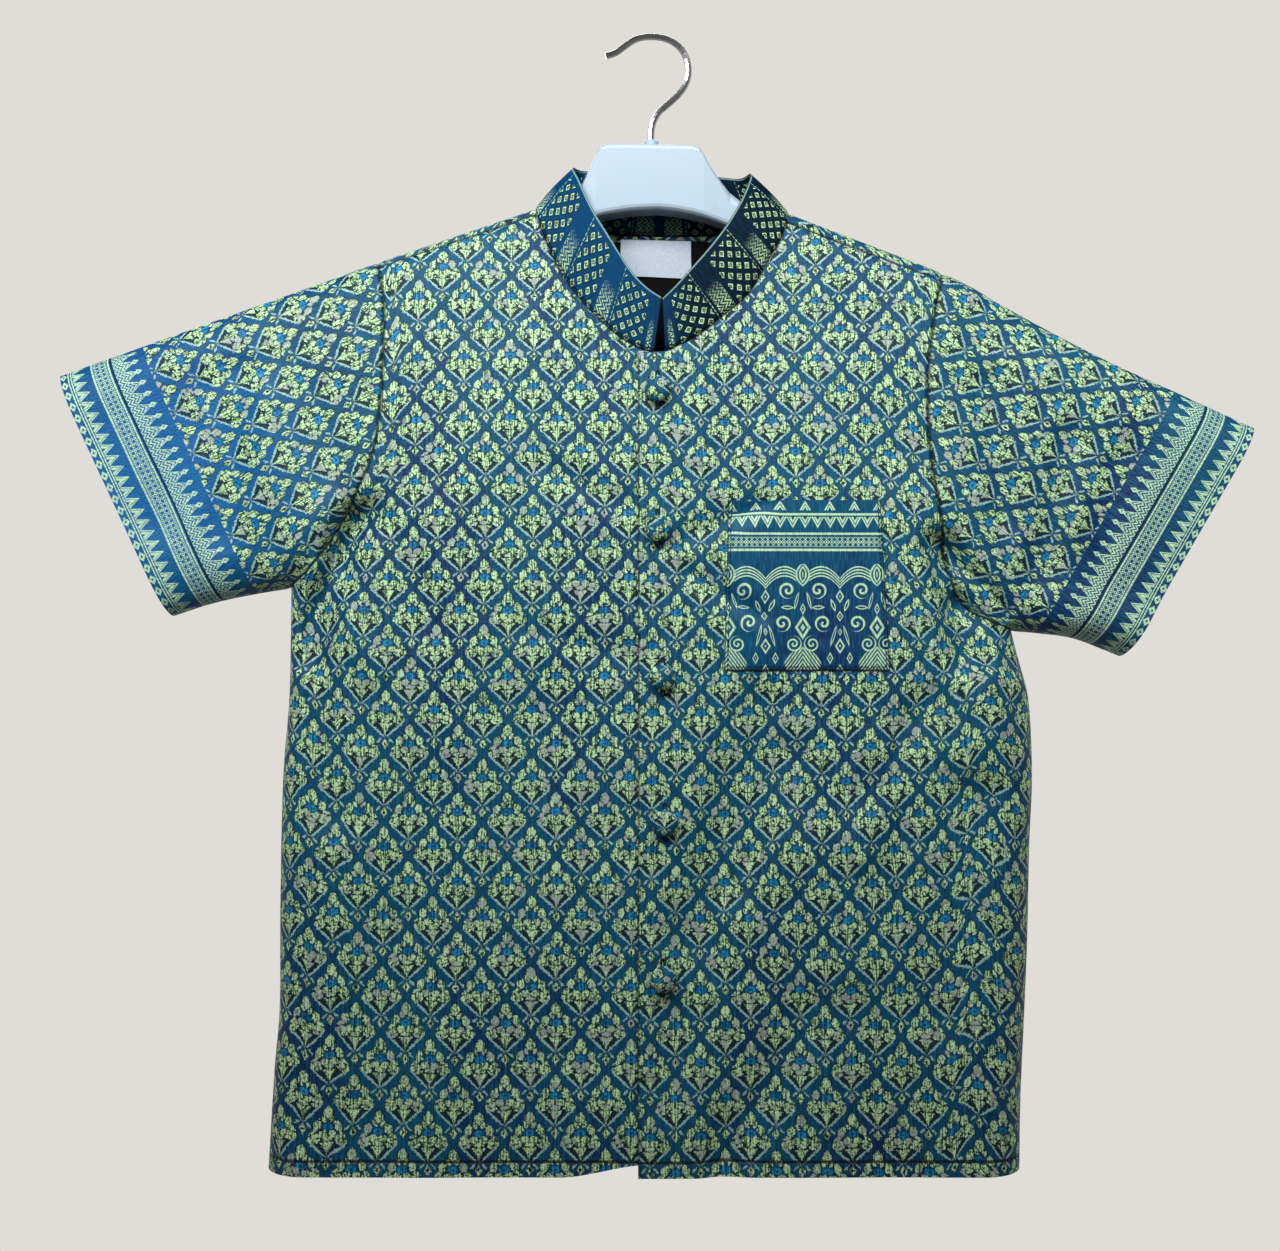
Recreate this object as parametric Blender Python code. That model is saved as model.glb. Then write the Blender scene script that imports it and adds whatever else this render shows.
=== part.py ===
"""A child's mandarin collar shirt in brocade, hanging on a plastic hanger.

The shirt is a flattened bag of cloth. Short tables give its outline seen from the front, and skin()
turns a place inside that outline into a point on the front or the back of the bag: the cloth rounds
over at the shoulders, at the sleeves' folds and at the side seams. Each cut piece is a wall over its
own grid of such places, 0.3 mm short of its neighbours at the seams.

Metres, +Z up. The front faces -Y and the wearer's left is +X. The origin is the underside of the
hook's wire at the top of its bend, where the hanger rests on a rail or a nail.
"""

import math

import bmesh
import bpy
import numpy as np

for old in list(bpy.data.objects):
    bpy.data.objects.remove(old)

# All sizes below are millimetres, and solid() turns them into metres.
MM = 0.001

# Cloth
WALL = 1.4  # brocade and its lining
GAP = 0.3  # between pieces that meet or lie on each other
CURVED_GAP = 0.9  # between layers whose facets differ, or against the rounded shoulder ridge
HEM_Z = -630.0
HEM_LIFT = 7.0  # the lower front's corner is drawn up by the buttoned edge
LIFT_REACH = 50.0
CENTRE_X = 5.0
PLACKET_X = -6.0  # free edge of the upper front
UNDERLAP_X = 22.0  # free edge of the lower front, beneath it
LAP_RISE = WALL + CURVED_GAP  # how far the upper front stands off the lower one
LAP_ENDS, LAP_BLEND = 26.0, 14.0  # it comes down again over this stretch of x
SEAM_FORWARD = {"right": 4.1, "left": 6.5}  # shoulder seam, in front of the ridge

# How far the outline's edges round over, and the depth of the cloth's bag at each height
SHOULDER_ROUND = 14.0
SLEEVE_ROUND = 26.0
SIDE_ROUND = 24.0
SLEEVE_SHARE = 0.72  # depth of a sleeve, as a share of the body's
SLEEVE_STARTS, SLEEVE_REACHED = 150.0, 215.0  # distance from the centre
DEPTH_ROWS = [  # z, front, back
    (-60, 12.5, 13.4),
    (-100, 13.0, 13.6),
    (-135, 16.5, 14.0),
    (-180, 20.5, 14.0),
    (-240, 23.0, 14.0),
    (-330, 24.5, 14.0),
    (-450, 24.5, 13.5),
    (-560, 23.5, 12.5),
    (-640, 22.0, 12.0),
]

# Outline of the closed edges, seen from the front. "right" is the wearer's right, at -X.
SHOULDER_LINE = {  # x, z from the neck along the shoulder and the sleeve's top fold to the cuff
    "right": [(-63.8, -95.2), (-154.0, -126.0), (-240.0, -156.5), (-328.7, -188.2)],
    "left": [
        (78.5, -97.9),
        (167.4, -132.7),
        (197.7, -149.0),
        (249.2, -176.4),
        (300.7, -200.2),
        (337.7, -217.3),
    ],
}
UNDERARM = {"right": (-200.0, -307.0), "left": (202.5, -331.0)}
SLEEVE_UNDER = {  # x, z from the underarm along the sleeve's lower fold to the cuff
    "right": [UNDERARM["right"], (-221.8, -310.6), (-243.6, -315.3), (-266.0, -322.6)],
    "left": [UNDERARM["left"], (220.0, -332.5), (239.0, -335.5), (263.2, -345.0)],
}
SIDE_SEAM = {  # x, z from the underarm to the hem
    "right": [
        UNDERARM["right"],
        (-200.2, -336.0),
        (-201.0, -370.0),
        (-204.4, -414.0),
        (-206.0, -482.0),
        (-206.3, -540.0),
        (-209.2, -575.0),
        (-212.6, -630.0),
    ],
    "left": [
        UNDERARM["left"],
        (206.0, -345.0),
        (212.0, -370.0),
        (213.9, -412.0),
        (212.4, -450.0),
        (211.4, -500.0),
        (209.6, -545.0),
        (207.6, -590.0),
        (207.0, -630.0),
    ],
}
ARMHOLE = {  # x, z from the ridge of the shoulder down the front to the underarm
    "right": [
        (-151.5, -125.15),
        (-149.6, -131.2),
        (-146.3, -148.8),
        (-146.0, -170.0),
        (-147.0, -200.0),
        (-150.1, -227.7),
        (-158.5, -251.0),
        (-170.0, -273.5),
        (-184.4, -294.5),
        UNDERARM["right"],
    ],
    "left": [
        (163.5, -131.2),
        (161.0, -137.8),
        (156.6, -160.0),
        (153.4, -185.0),
        (152.8, -205.0),
        (154.3, -235.0),
        (159.5, -266.0),
        (165.5, -298.4),
        (176.0, -319.0),
        UNDERARM["left"],
    ],
}
BACK_ARMHOLE_BOW = 5.0  # the back is cut wider across the shoulder blades
NECKLINE = {  # x, z from the shoulder seam down to the centre front
    "right": [
        (-62.5, -99.1),
        (-58.0, -113.0),
        (-49.0, -132.8),
        (-36.9, -149.9),
        (-20.4, -166.1),
        (-9.4, -173.8),
        (2.1, -178.2),
        (UNDERLAP_X, -179.5),
    ],
    "left": [
        (76.1, -104.0),
        (73.0, -114.0),
        (64.7, -128.2),
        (54.8, -145.2),
        (41.1, -157.3),
        (26.8, -168.8),
        (16.4, -174.3),
        (8.7, -177.6),
        (PLACKET_X, -178.6),
    ],
}
BACK_NECKLINE = [  # x, z from the right shoulder's ridge round to the left one
    (-63.8, -95.2),
    (-50.0, -101.5),
    (-25.0, -106.0),
    (7.0, -107.5),
    (38.0, -107.0),
    (64.0, -104.0),
    (78.5, -97.9),
]
FOLDS = [  # side, from x, z, to x, z, half width, depth of the trough (a ridge where negative)
    ("front", -158, -268, -186, -345, 9, 7.0),
    ("front", -176, -262, -204, -300, 8, -3.0),
    ("front", 160, -285, 176, -345, 9, 8.0),
    ("front", 172, -316, 202, -338, 7, 5.0),
    ("front", 186, -352, 180, -400, 13, -4.0),
    ("front", 72, -400, 48, -472, 12, 3.5),
    ("front", 34, -500, 8, -580, 14, 2.0),
    ("front", 96, -452, 112, -510, 20, -3.0),
    ("front", -214, -206, -196, -268, 16, -3.0),
    ("front", 210, -196, 226, -262, 20, -3.0),
    ("back", -150, -250, -192, -340, 12, 5.0),
    ("back", 150, -260, 192, -350, 12, 5.0),
    ("back", -40, -180, -70, -560, 24, 3.0),
    ("back", 60, -200, 82, -600, 26, 3.0),
]

# Collar: a place on the seam line, and the free edge above it
COLLAR_ROWS = [  # seam x, seam z, edge x, edge y, edge z
    (2.4, -178.2, 6.7, -18.4, -147.3),
    (-9.4, -173.8, -1.6, -18.2, -141.5),
    (-20.4, -166.1, -10.4, -18.0, -132.0),
    (-36.9, -149.9, -21.6, -17.0, -114.0),
    (-49.0, -132.8, -32.0, -15.0, -96.5),
    (-58.0, -113.0, -38.8, -11.8, -81.0),
    (-63.8, -95.2, -42.4, 0.0, -71.5),
    (-50.0, -101.5, -37.0, 11.8, -70.2),
    (-25.0, -106.0, -18.0, 14.0, -70.0),
    (7.0, -107.5, 7.0, 14.4, -70.8),
    (38.0, -107.0, 32.0, 14.0, -72.6),
    (64.0, -104.0, 51.0, 11.8, -74.6),
    (78.5, -97.9, 57.0, 0.0, -75.0),
    (73.0, -114.0, 52.2, -11.8, -90.0),
    (64.7, -128.2, 44.2, -15.0, -104.6),
    (54.8, -145.2, 34.0, -17.0, -118.5),
    (41.1, -157.3, 22.4, -18.0, -132.0),
    (26.8, -168.8, 14.4, -18.2, -141.0),
    (8.9, -177.4, 7.4, -18.4, -148.0),
]
COLLAR_BULGE = 1.0

# Patch pocket on the left front: left x, right x, z of its upper and lower edges
POCKET = {"top": (43.5, 126.4, -259.5), "bottom": (40.8, 131.3, -352.5)}

# Domed buttons covered in the same cloth: x, z of their centres
BUTTONS = [(4.7, -199.0), (4.7, -275.0), (8.2, -355.8), (8.5, -435.0), (7.4, -520.0)]
BUTTON_RADIUS = 6.8
BUTTON_HEIGHT = 6.0
BUTTON_RIM_HEIGHT = 1.6

# Inside the neck
LINING_WALL = 1.0
LINING = {"top": -109.5, "bottom": -330.0, "top half": 52.0, "bottom half": 120.0, "rise": 5.0}
LABEL = {"left": -15.8, "right": 23.8, "top": -109.5, "bottom": -131.0}
LABEL_WALL = 1.0

# Hanger
ARM_HALF = 8.0
PLATE_HALF = 9.8
HANGER_ROWS = [  # x, top (None: just below the shoulder's ridge), bottom, half thickness
    (-146.0, None, -141.0, 5.5),
    (-143.0, None, -144.5, 7.4),
    (-136.0, None, -145.5, ARM_HALF),
    (-118.0, None, -141.0, ARM_HALF),
    (-100.0, None, -134.5, ARM_HALF),
    (-80.0, None, -125.5, ARM_HALF),
    (-66.0, -102.2, -118.0, 7.4),
    (-56.0, -99.0, -112.5, 7.2),
    (-48.0, -94.0, -108.4, 7.4),
    (-42.5, -88.6, -105.8, 7.8),
    (-37.2, -82.2, -103.6, 8.6),
    (-32.4, -72.5, -102.0, 9.3),
    (-29.2, -65.0, -101.0, PLATE_HALF),
    (-26.6, -61.2, -100.2, PLATE_HALF),
    (-22.5, -60.0, -99.2, PLATE_HALF),
    (-10.0, -60.0, -97.3, PLATE_HALF),
    (5.0, -60.3, -96.6, PLATE_HALF),
    (15.0, -60.5, -97.6, PLATE_HALF),
    (23.5, -60.7, -99.2, PLATE_HALF),
    (27.6, -61.9, -100.2, PLATE_HALF),
    (30.4, -65.6, -101.0, PLATE_HALF),
    (33.6, -71.5, -102.0, 9.3),
    (38.4, -78.6, -103.6, 8.6),
    (45.0, -85.8, -106.2, 8.0),
    (52.0, -91.0, -109.8, 7.6),
    (62.0, -95.6, -116.0, 7.6),
    (80.0, -103.4, -126.0, 7.6),
    (92.0, None, -132.5, ARM_HALF),
    (108.0, None, -140.0, ARM_HALF),
    (126.0, None, -147.0, ARM_HALF),
    (151.0, None, -152.5, ARM_HALF),
    (156.0, None, -151.5, 7.4),
    (159.0, None, -148.0, 5.5),
]
ARM_ROUND = 7.4  # the arms' upper edge is rounded for the cloth, the plate's only eased
EASED = 3.0
RIDGE_SLANT = 1.065  # a vertical measure, over one square to the sloping ridge
PLATE_TOP = -60.1
WIRE = 3.7
HOOK_POINTS = [  # x, z along the wire's centre, from the plate to the free end
    (1.2, PLATE_TOP + GAP),
    (1.2, -54.0),
    (2.0, -47.2),
    (5.8, -40.2),
    (12.6, -34.2),
    (18.4, -28.4),
    (21.7, -21.6),
    (22.0, -14.4),
    (19.6, -7.4),
    (14.8, -1.9),
    (8.0, 1.1),
    (0.0, WIRE / 2),
    (-7.6, 0.4),
    (-13.8, -3.6),
    (-18.6, -7.2),
    (-24.2, -9.0),
]
HOOK_STEPS = 36
FERRULE = {"radius": 4.2, "bore": WIRE / 2 + GAP, "height": 3.4, "ease": 1.0}

COLOURS = {  # red, green, blue, roughness, metallic
    "brocade": (0.10, 0.22, 0.26, 0.45, 0.0),
    "border brocade": (0.12, 0.26, 0.34, 0.4, 0.0),
    "collar brocade": (0.04, 0.10, 0.14, 0.45, 0.0),
    "black lining": (0.01, 0.01, 0.012, 0.6, 0.0),
    "label satin": (0.9, 0.9, 0.88, 0.6, 0.0),
    "hanger plastic": (0.82, 0.87, 0.92, 0.35, 0.0),
    "hook steel": (0.6, 0.6, 0.62, 0.25, 1.0),
}


def material(name):
    found = bpy.data.materials.get(name)
    if found:
        return found
    red, green, blue, roughness, metallic = COLOURS[name]
    made = bpy.data.materials.new(name)
    made.use_nodes = True
    shader = made.node_tree.nodes["Principled BSDF"]
    shader.inputs["Base Color"].default_value = (red, green, blue, 1)
    shader.inputs["Roughness"].default_value = roughness
    shader.inputs["Metallic"].default_value = metallic
    return made


def solid(name, points, faces, finish):
    """One closed mesh object from points in millimetres, facing out, shaded smooth but for its rims."""
    mesh = bpy.data.meshes.new(name)
    mesh.from_pydata([tuple(point) for point in np.asarray(points) * MM], [], faces)
    shell = bmesh.new()
    shell.from_mesh(mesh)
    if shell.calc_volume(signed=True) < 0:
        bmesh.ops.reverse_faces(shell, faces=shell.faces)
    shell.to_mesh(mesh)
    shell.free()
    mesh.shade_smooth()
    mesh.set_sharp_from_angle(angle=math.radians(50))
    mesh.materials.append(material(finish))
    made = bpy.data.objects.new(name, mesh)
    bpy.context.scene.collection.objects.link(made)
    return made


# Curves through short tables

CURVE_STEPS = 12


def along(rows, shares):
    """Points at shares of the length of a smooth curve through the rows."""
    rows = np.asarray(rows, float)
    knots = np.vstack([2 * rows[0] - rows[1], rows, 2 * rows[-1] - rows[-2]])
    fine = [rows[0]]
    for i in range(1, len(knots) - 2):
        a, b, c, d = knots[i - 1 : i + 3]
        for t in np.linspace(0, 1, CURVE_STEPS + 1)[1:]:
            cubic = (3 * b - a - 3 * c + d) * t**3
            fine.append(0.5 * (2 * b + (c - a) * t + (2 * a - 5 * b + 4 * c - d) * t**2 + cubic))
    fine = np.array(fine)
    lengths = np.concatenate([[0], np.cumsum(np.linalg.norm(np.diff(fine, axis=0), axis=1))])
    wanted = np.asarray(shares, float) * lengths[-1]
    return np.stack([np.interp(wanted, lengths, fine[:, k]) for k in range(rows.shape[1])], axis=1)


def smooth(t):
    t = np.clip(t, 0, 1)
    return t * t * (3 - 2 * t)


def mixed(start, end, share):
    return start * (1 - share) + end * share


# The cloth's bag

RUN_ON = 70.0
FINE = np.linspace(0, 1, 49)


def run_on(points):
    """The polyline with its last stretch carried on past its end."""
    step = points[-1] - points[-2]
    return np.vstack([points, points[-1] + step / np.linalg.norm(step) * RUN_ON])


def top_edge(side):
    """Shoulder and sleeve top, carried on past the cuff and over the neck."""
    return run_on(run_on(along(SHOULDER_LINE[side], FINE))[::-1])


def low_edge(side):
    """Sleeve's lower fold and side seam, carried on past the cuff and the hem."""
    sleeve_under = run_on(along(SLEEVE_UNDER[side], FINE))[::-1]
    return np.vstack([sleeve_under, run_on(along(SIDE_SEAM[side], FINE))[1:]])


TOP_EDGES = {side: top_edge(side) for side in ("right", "left")}
LOW_EDGES = {side: low_edge(side) for side in ("right", "left")}
CHEST = np.array([CENTRE_X, -200.0])  # every edge of the outline has this place on its inner side
ON_THE_LINE = 0.05  # closer than this counts as on the line, and the way off it is square to it


def distance(points, line):
    """How far points are from a polyline, and the direction away from it."""
    start, step = line[:-1], np.diff(line, axis=0)
    share = np.clip(((points[:, None] - start) * step).sum(2) / (step**2).sum(1), 0, 1)
    offset = points[:, None] - (start + share[..., None] * step)
    lengths = np.linalg.norm(offset, axis=2)
    nearest = lengths.argmin(axis=1)
    rows = np.arange(len(points))
    length, away = lengths[rows, nearest], offset[rows, nearest]
    square = np.stack([step[nearest, 1], -step[nearest, 0]], axis=1)
    square /= np.linalg.norm(square, axis=1)[:, None]
    square *= np.where((square * (CHEST - points)).sum(1) < 0, -1.0, 1.0)[:, None]
    clear = length > ON_THE_LINE
    away = np.where(clear[:, None], away / np.maximum(length, 1e-9)[:, None], square)
    return np.where(clear, length, 0.0), away


def nearest_edge(points, edges):
    right_length, right_away = distance(points, edges["right"])
    left_length, left_away = distance(points, edges["left"])
    nearer = right_length < left_length
    return np.where(nearer, right_length, left_length), np.where(nearer[:, None], right_away, left_away)


def rounding(length, radius):
    """The squared share of the full depth at a distance from an edge, and its slope."""
    short = np.clip(1 - length / radius, 0, 1)
    return 1 - short**2, 2 * short / radius


def sleeve_share(points):
    return smooth((abs(points[:, 0] - CENTRE_X) - SLEEVE_STARTS) / (SLEEVE_REACHED - SLEEVE_STARTS))


def full_depth(points, face):
    """Depth of the cloth far from any edge, with its folds."""
    heights, front_depths, back_depths = zip(*DEPTH_ROWS[::-1])
    depth = np.interp(points[:, 1], heights, front_depths if face == "front" else back_depths)
    above_underarm = smooth((points[:, 1] + 345) / 40)
    depth = depth * (1 - (1 - SLEEVE_SHARE) * sleeve_share(points) * above_underarm)
    for fold_face, x0, z0, x1, z1, width, trough in FOLDS:
        if fold_face == face:
            length, _ = distance(points, np.array([(x0, z0), (x1, z1)], float))
            depth = depth - trough * smooth(1 - length / (1.8 * width))
    return depth


def skin(places, face):
    """Points on the cloth's outer face, and the directions out of it, for x, z seen from the front."""
    places = np.asarray(places, float)
    flat = places.reshape(-1, 2)
    top_length, top_away = nearest_edge(flat, TOP_EDGES)
    low_length, low_away = nearest_edge(flat, LOW_EDGES)
    top_radius = mixed(SHOULDER_ROUND, SLEEVE_ROUND, sleeve_share(flat))
    top, top_slope = rounding(top_length, top_radius)
    low, low_slope = rounding(low_length, SIDE_ROUND)
    slope = top_away * (top_slope * low)[:, None] + low_away * (low_slope * top)[:, None]
    depth = full_depth(flat, face)
    step = 0.5
    depth_slope = [
        (full_depth(flat + shift, face) - full_depth(flat - shift, face)) / (2 * step)
        for shift in np.eye(2) * step
    ]
    facing = -1.0 if face == "front" else 1.0
    y = facing * depth * np.sqrt(top * low)
    slope = 2 * (depth * top * low)[:, None] * np.stack(depth_slope, axis=1) + (depth**2)[:, None] * slope
    outward = np.stack([-slope[:, 0], 2 * y, -slope[:, 1]], axis=1)
    outward /= np.linalg.norm(outward, axis=1)[:, None]
    points = np.stack([flat[:, 0], y, flat[:, 1]], axis=1)
    shape = places.shape[:-1] + (3,)
    return points.reshape(shape), outward.reshape(shape)


# Walls over grids


def wall(name, outer, outward, finish, thickness=WALL, ring=False, cells=None):
    """A closed wall over a grid of rows and columns of outer points.

    ring joins the last column to the first, and cells says which cells of the grid hold cloth.
    """
    rows, columns = outer.shape[:2]
    across = columns if ring else columns - 1
    cells = np.ones((rows - 1, across), bool) if cells is None else cells
    layers = (outer - outward * thickness, outer)
    numbers, points, faces = {}, [], []

    def number(row, column, layer):
        key = (row, column % columns, layer)
        if key not in numbers:
            numbers[key] = len(points)
            points.append(layers[layer][key[:2]])
        return numbers[key]

    for i, j in np.argwhere(cells):
        corners = [(i, j), (i, j + 1), (i + 1, j + 1), (i + 1, j)]
        faces.append([number(a, b, 1) for a, b in corners])
        faces.append([number(a, b, 0) for a, b in corners[::-1]])
        for k, (a, b) in enumerate([(i - 1, j), (i, j + 1), (i + 1, j), (i, j - 1)]):
            b = b % across if ring else b
            if 0 <= a < rows - 1 and 0 <= b < across and cells[a, b]:
                continue
            first, second = corners[k], corners[(k + 1) % 4]
            rim = [number(*second, 1), number(*first, 1), number(*first, 0), number(*second, 0)]
            faces.append(rim)
    return solid(name, points, faces, finish)


# The body's cut pieces meet the sleeves and the collar at the same places along each seam.

ARM_SHARES = np.concatenate(
    [[0, 0.006, 0.022], np.linspace(0.06, 0.3, 7), np.linspace(0.3, 0.92, 8)[1:], [0.965, 0.992, 1]]
)
FRONT_ARM_STARTS = 3  # rows of ARM_SHARES above the shoulder seam
NECK_CELLS = 7
SIDE_CELLS = 12
ACROSS_FRONT = np.array(
    [0, 0.045, 0.09, 0.16, 0.25, 0.35, 0.45, 0.55, 0.65, 0.74, 0.82, 0.885, 0.93, 0.963, 0.988, 1]
)
HEM_ROWS = 4  # rows above the hem that follow its lift
SIDEWAYS = {"right": (-1.0, 0.0, 0.0), "left": (1.0, 0.0, 0.0)}  # how the body faces at the underarm


def armhole(side, face, shares):
    curve = along(ARMHOLE[side], shares)
    if face == "back":
        outwards = -1 if side == "right" else 1
        curve[:, 0] += outwards * BACK_ARMHOLE_BOW * np.sin(math.pi * np.asarray(shares))
    return curve


def seam_start(side):
    """Share of the armhole's length that lies behind the shoulder seam."""
    shares = np.linspace(0, 0.1, 400)
    length, _ = distance(armhole(side, "front", shares), TOP_EDGES[side])
    return float(shares[np.argmax(length > SEAM_FORWARD[side])])


def hem(x, side):
    """Height of a front's lower edge."""
    if side == "left":
        return np.full_like(x, HEM_Z)
    return HEM_Z + HEM_LIFT * smooth((x + LIFT_REACH) / LIFT_REACH)


def lap(points):
    """Points of the front with the upper front's stand-off near the lapped edges."""
    lapped = points.copy()
    over = smooth((LAP_ENDS + LAP_BLEND - points[..., 0]) / LAP_BLEND)
    below_neck = smooth((-168.0 - points[..., 2]) / 10)
    lapped[..., 1] -= LAP_RISE * over * below_neck
    return lapped


def front(side):
    """One front: from its centre edge to the armhole and the side seam."""
    arm_shares = np.concatenate([[seam_start(side)], ARM_SHARES[FRONT_ARM_STARTS:]])
    arm = armhole(side, "front", arm_shares)
    seam = along(SIDE_SEAM[side], np.linspace(0, 1, SIDE_CELLS + 1)[1:])
    outer_border = np.vstack([arm, seam])
    neck = along(NECKLINE[side], np.linspace(0, 1, NECK_CELLS + 1))
    centre_x = UNDERLAP_X if side == "right" else PLACKET_X
    # Below the neck the rows run level, but for a rise at the centre that fades out by the underarm.
    beside = outer_border[NECK_CELLS:, 1]
    fading = np.clip((beside - arm[-1, 1]) / (beside[0] - arm[-1, 1]), 0, 1)
    edge_z = (beside + (neck[-1, 1] - beside[0]) * fading)[1:]
    inner_border = np.vstack([neck, np.stack([np.full_like(edge_z, centre_x), edge_z], axis=1)])
    grid = mixed(inner_border[:, None], outer_border[:, None], ACROSS_FRONT[None, :, None])
    last = np.linspace(0, 1, HEM_ROWS)[:, None]
    grid[-HEM_ROWS:, :, 1] = mixed(grid[-HEM_ROWS:, :, 1], hem(grid[-1:, :, 0], side), last)
    points, outward = skin(grid, "front")
    points[len(arm) - 1 :, -1, 1] -= GAP / 2
    outward[len(arm) - 1, -1] = SIDEWAYS[side]
    return (lap(points) if side == "left" else points), outward


STRIP_SHARES = np.array([1.0, 0.3])  # from the shoulder seam back to the ridge
SHOULDER_SHARES = np.array([0, 0.05, 0.22, 0.42, 0.62, 0.82, 0.95, 1])
BACK_NECK_CELLS = 10
EDGE_SHARES = np.array([0, 0.012, 0.04, 0.085, 0.14])
BACK_ROWS = len(ARM_SHARES) + 10


def forward_of_ridge(side):
    """The direction from the shoulder's ridge toward its seam, seen from the front."""
    slope = np.subtract(SHOULDER_LINE[side][1], SHOULDER_LINE[side][0])
    square = np.array([slope[1], -slope[0]]) / np.linalg.norm(slope)
    return square if square[1] < 0 else -square


def back():
    """The back with its strips over the shoulders, as one grid with a notch for the neck."""
    ridge = {}
    for side in ("right", "left"):
        tip, neck_point = np.array(ARMHOLE[side][0]), np.array(SHOULDER_LINE[side][0])
        ridge[side] = mixed(tip, neck_point, SHOULDER_SHARES[:, None])
    neckline = along(BACK_NECKLINE, np.linspace(0, 1, BACK_NECK_CELLS + 1))
    top = np.vstack([ridge["right"], neckline[1:-1], ridge["left"][::-1]])
    columns = len(top)
    below = np.linspace(0, 1, BACK_ROWS - len(ARM_SHARES) + 1)[1:]
    border = {
        side: np.vstack([armhole(side, "back", ARM_SHARES), along(SIDE_SEAM[side], below)])
        for side in ("right", "left")
    }
    right, left = border["right"][:, None], border["left"][:, None]
    down = (border["right"][:, 1] - top[0, 1]) / (HEM_Z - top[0, 1])
    # Near the shoulders the columns keep the top's spacing, and lower down they crowd to the sides.
    top_share = (top[:, 0] - top[0, 0]) / (top[-1, 0] - top[0, 0])
    middle = np.linspace(0.2, 0.8, columns - 2 * len(EDGE_SHARES))
    low_share = np.concatenate([EDGE_SHARES, middle, 1 - EDGE_SHARES[::-1]])
    share = mixed(top_share, low_share, smooth((down - 0.15) / 0.3)[:, None])[..., None]
    grid = mixed(right, left, share)
    grid[..., 1] += (top[:, 1] - grid[0, :, 1]) * smooth(1 - down / 0.3)[:, None]
    points, outward = skin(grid, "back")
    underarm = len(ARM_SHARES) - 1
    points[underarm:, [0, -1], 1] += GAP / 2
    outward[underarm, 0], outward[underarm, -1] = SIDEWAYS["right"], SIDEWAYS["left"]
    strip = np.zeros((len(STRIP_SHARES), columns, 2))
    for j in range(columns):
        side = "right" if j < columns / 2 else "left"
        strip[:, j] = top[j] + forward_of_ridge(side) * (SEAM_FORWARD[side] - GAP) * STRIP_SHARES[:, None]
    strip_points, strip_outward = skin(strip, "front")
    cells = np.ones((len(STRIP_SHARES) + BACK_ROWS - 1, columns - 1), bool)
    cells[: len(STRIP_SHARES), len(SHOULDER_SHARES) - 1 : columns - len(SHOULDER_SHARES)] = False
    return np.concatenate([strip_points, points]), np.concatenate([strip_outward, outward]), cells


# Sleeves

SLEEVE_CELLS = 8
END_GAP = 0.6  # along the folds, where the armhole's seam reaches them slantwise


def off_seam(seam, toward_cuff):
    """Directions square to the armhole's seam, toward the cuff."""
    step = np.gradient(seam, axis=0)
    square = np.stack([step[:, 1], -step[:, 0]], axis=1) / np.linalg.norm(step, axis=1)[:, None]
    return square * np.sign(square[len(seam) // 2] @ toward_cuff)


def end_start(line):
    """The share of a fold line at which the sleeve's end point clears the body."""
    fine = along(line, FINE)
    return END_GAP / np.linalg.norm(np.diff(fine, axis=0), axis=1).sum()


def sleeve(side):
    """A tube from the armhole to the cuff: its front half, then its back half coming up."""
    lengths = np.linspace(0, 1, SLEEVE_CELLS + 1)
    fine = np.linspace(0, 1, 2001)
    tip = np.array(ARMHOLE[side][0])
    tip_share = fine[np.argmin(np.linalg.norm(along(SHOULDER_LINE[side], fine) - tip, axis=1))]
    top = along(SHOULDER_LINE[side], mixed(tip_share, 1, lengths))
    low = along(SLEEVE_UNDER[side], lengths)
    top_start = along(SHOULDER_LINE[side], [tip_share + end_start(SHOULDER_LINE[side])])[0]
    low_start = along(SLEEVE_UNDER[side], [end_start(SLEEVE_UNDER[side])])[0]
    cuff = mixed(top[-1], low[-1], ARM_SHARES[:, None])
    toward_cuff = cuff[0] + cuff[-1] - top[0] - low[0]
    t, w = lengths[:, None, None], ARM_SHARES[None, :, None]
    halves = []
    for face in ("front", "back"):
        seam = armhole(side, face, ARM_SHARES)
        corners = mixed(mixed(seam[0], seam[-1], w), mixed(cuff[0], cuff[-1], w), t)
        grid = mixed(seam[None], cuff[None], t) + mixed(top[:, None], low[:, None], w) - corners
        grid[0] += off_seam(seam, toward_cuff) * GAP
        grid[0, 0], grid[0, -1] = top_start, low_start
        halves.append(skin(grid, face))
    (front_points, front_outward), (back_points, back_outward) = halves
    points = np.concatenate([front_points, back_points[:, -2:0:-1]], axis=1)
    return points, np.concatenate([front_outward, back_outward[:, -2:0:-1]], axis=1)


# Collar


def beside_centre(neck, x):
    """The point at x on a front's neck edge, which runs from the shoulder to the centre."""
    order = np.argsort(neck[:, 0])
    return [np.interp(x, neck[order, 0], neck[order, k]) for k in range(3)]


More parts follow.
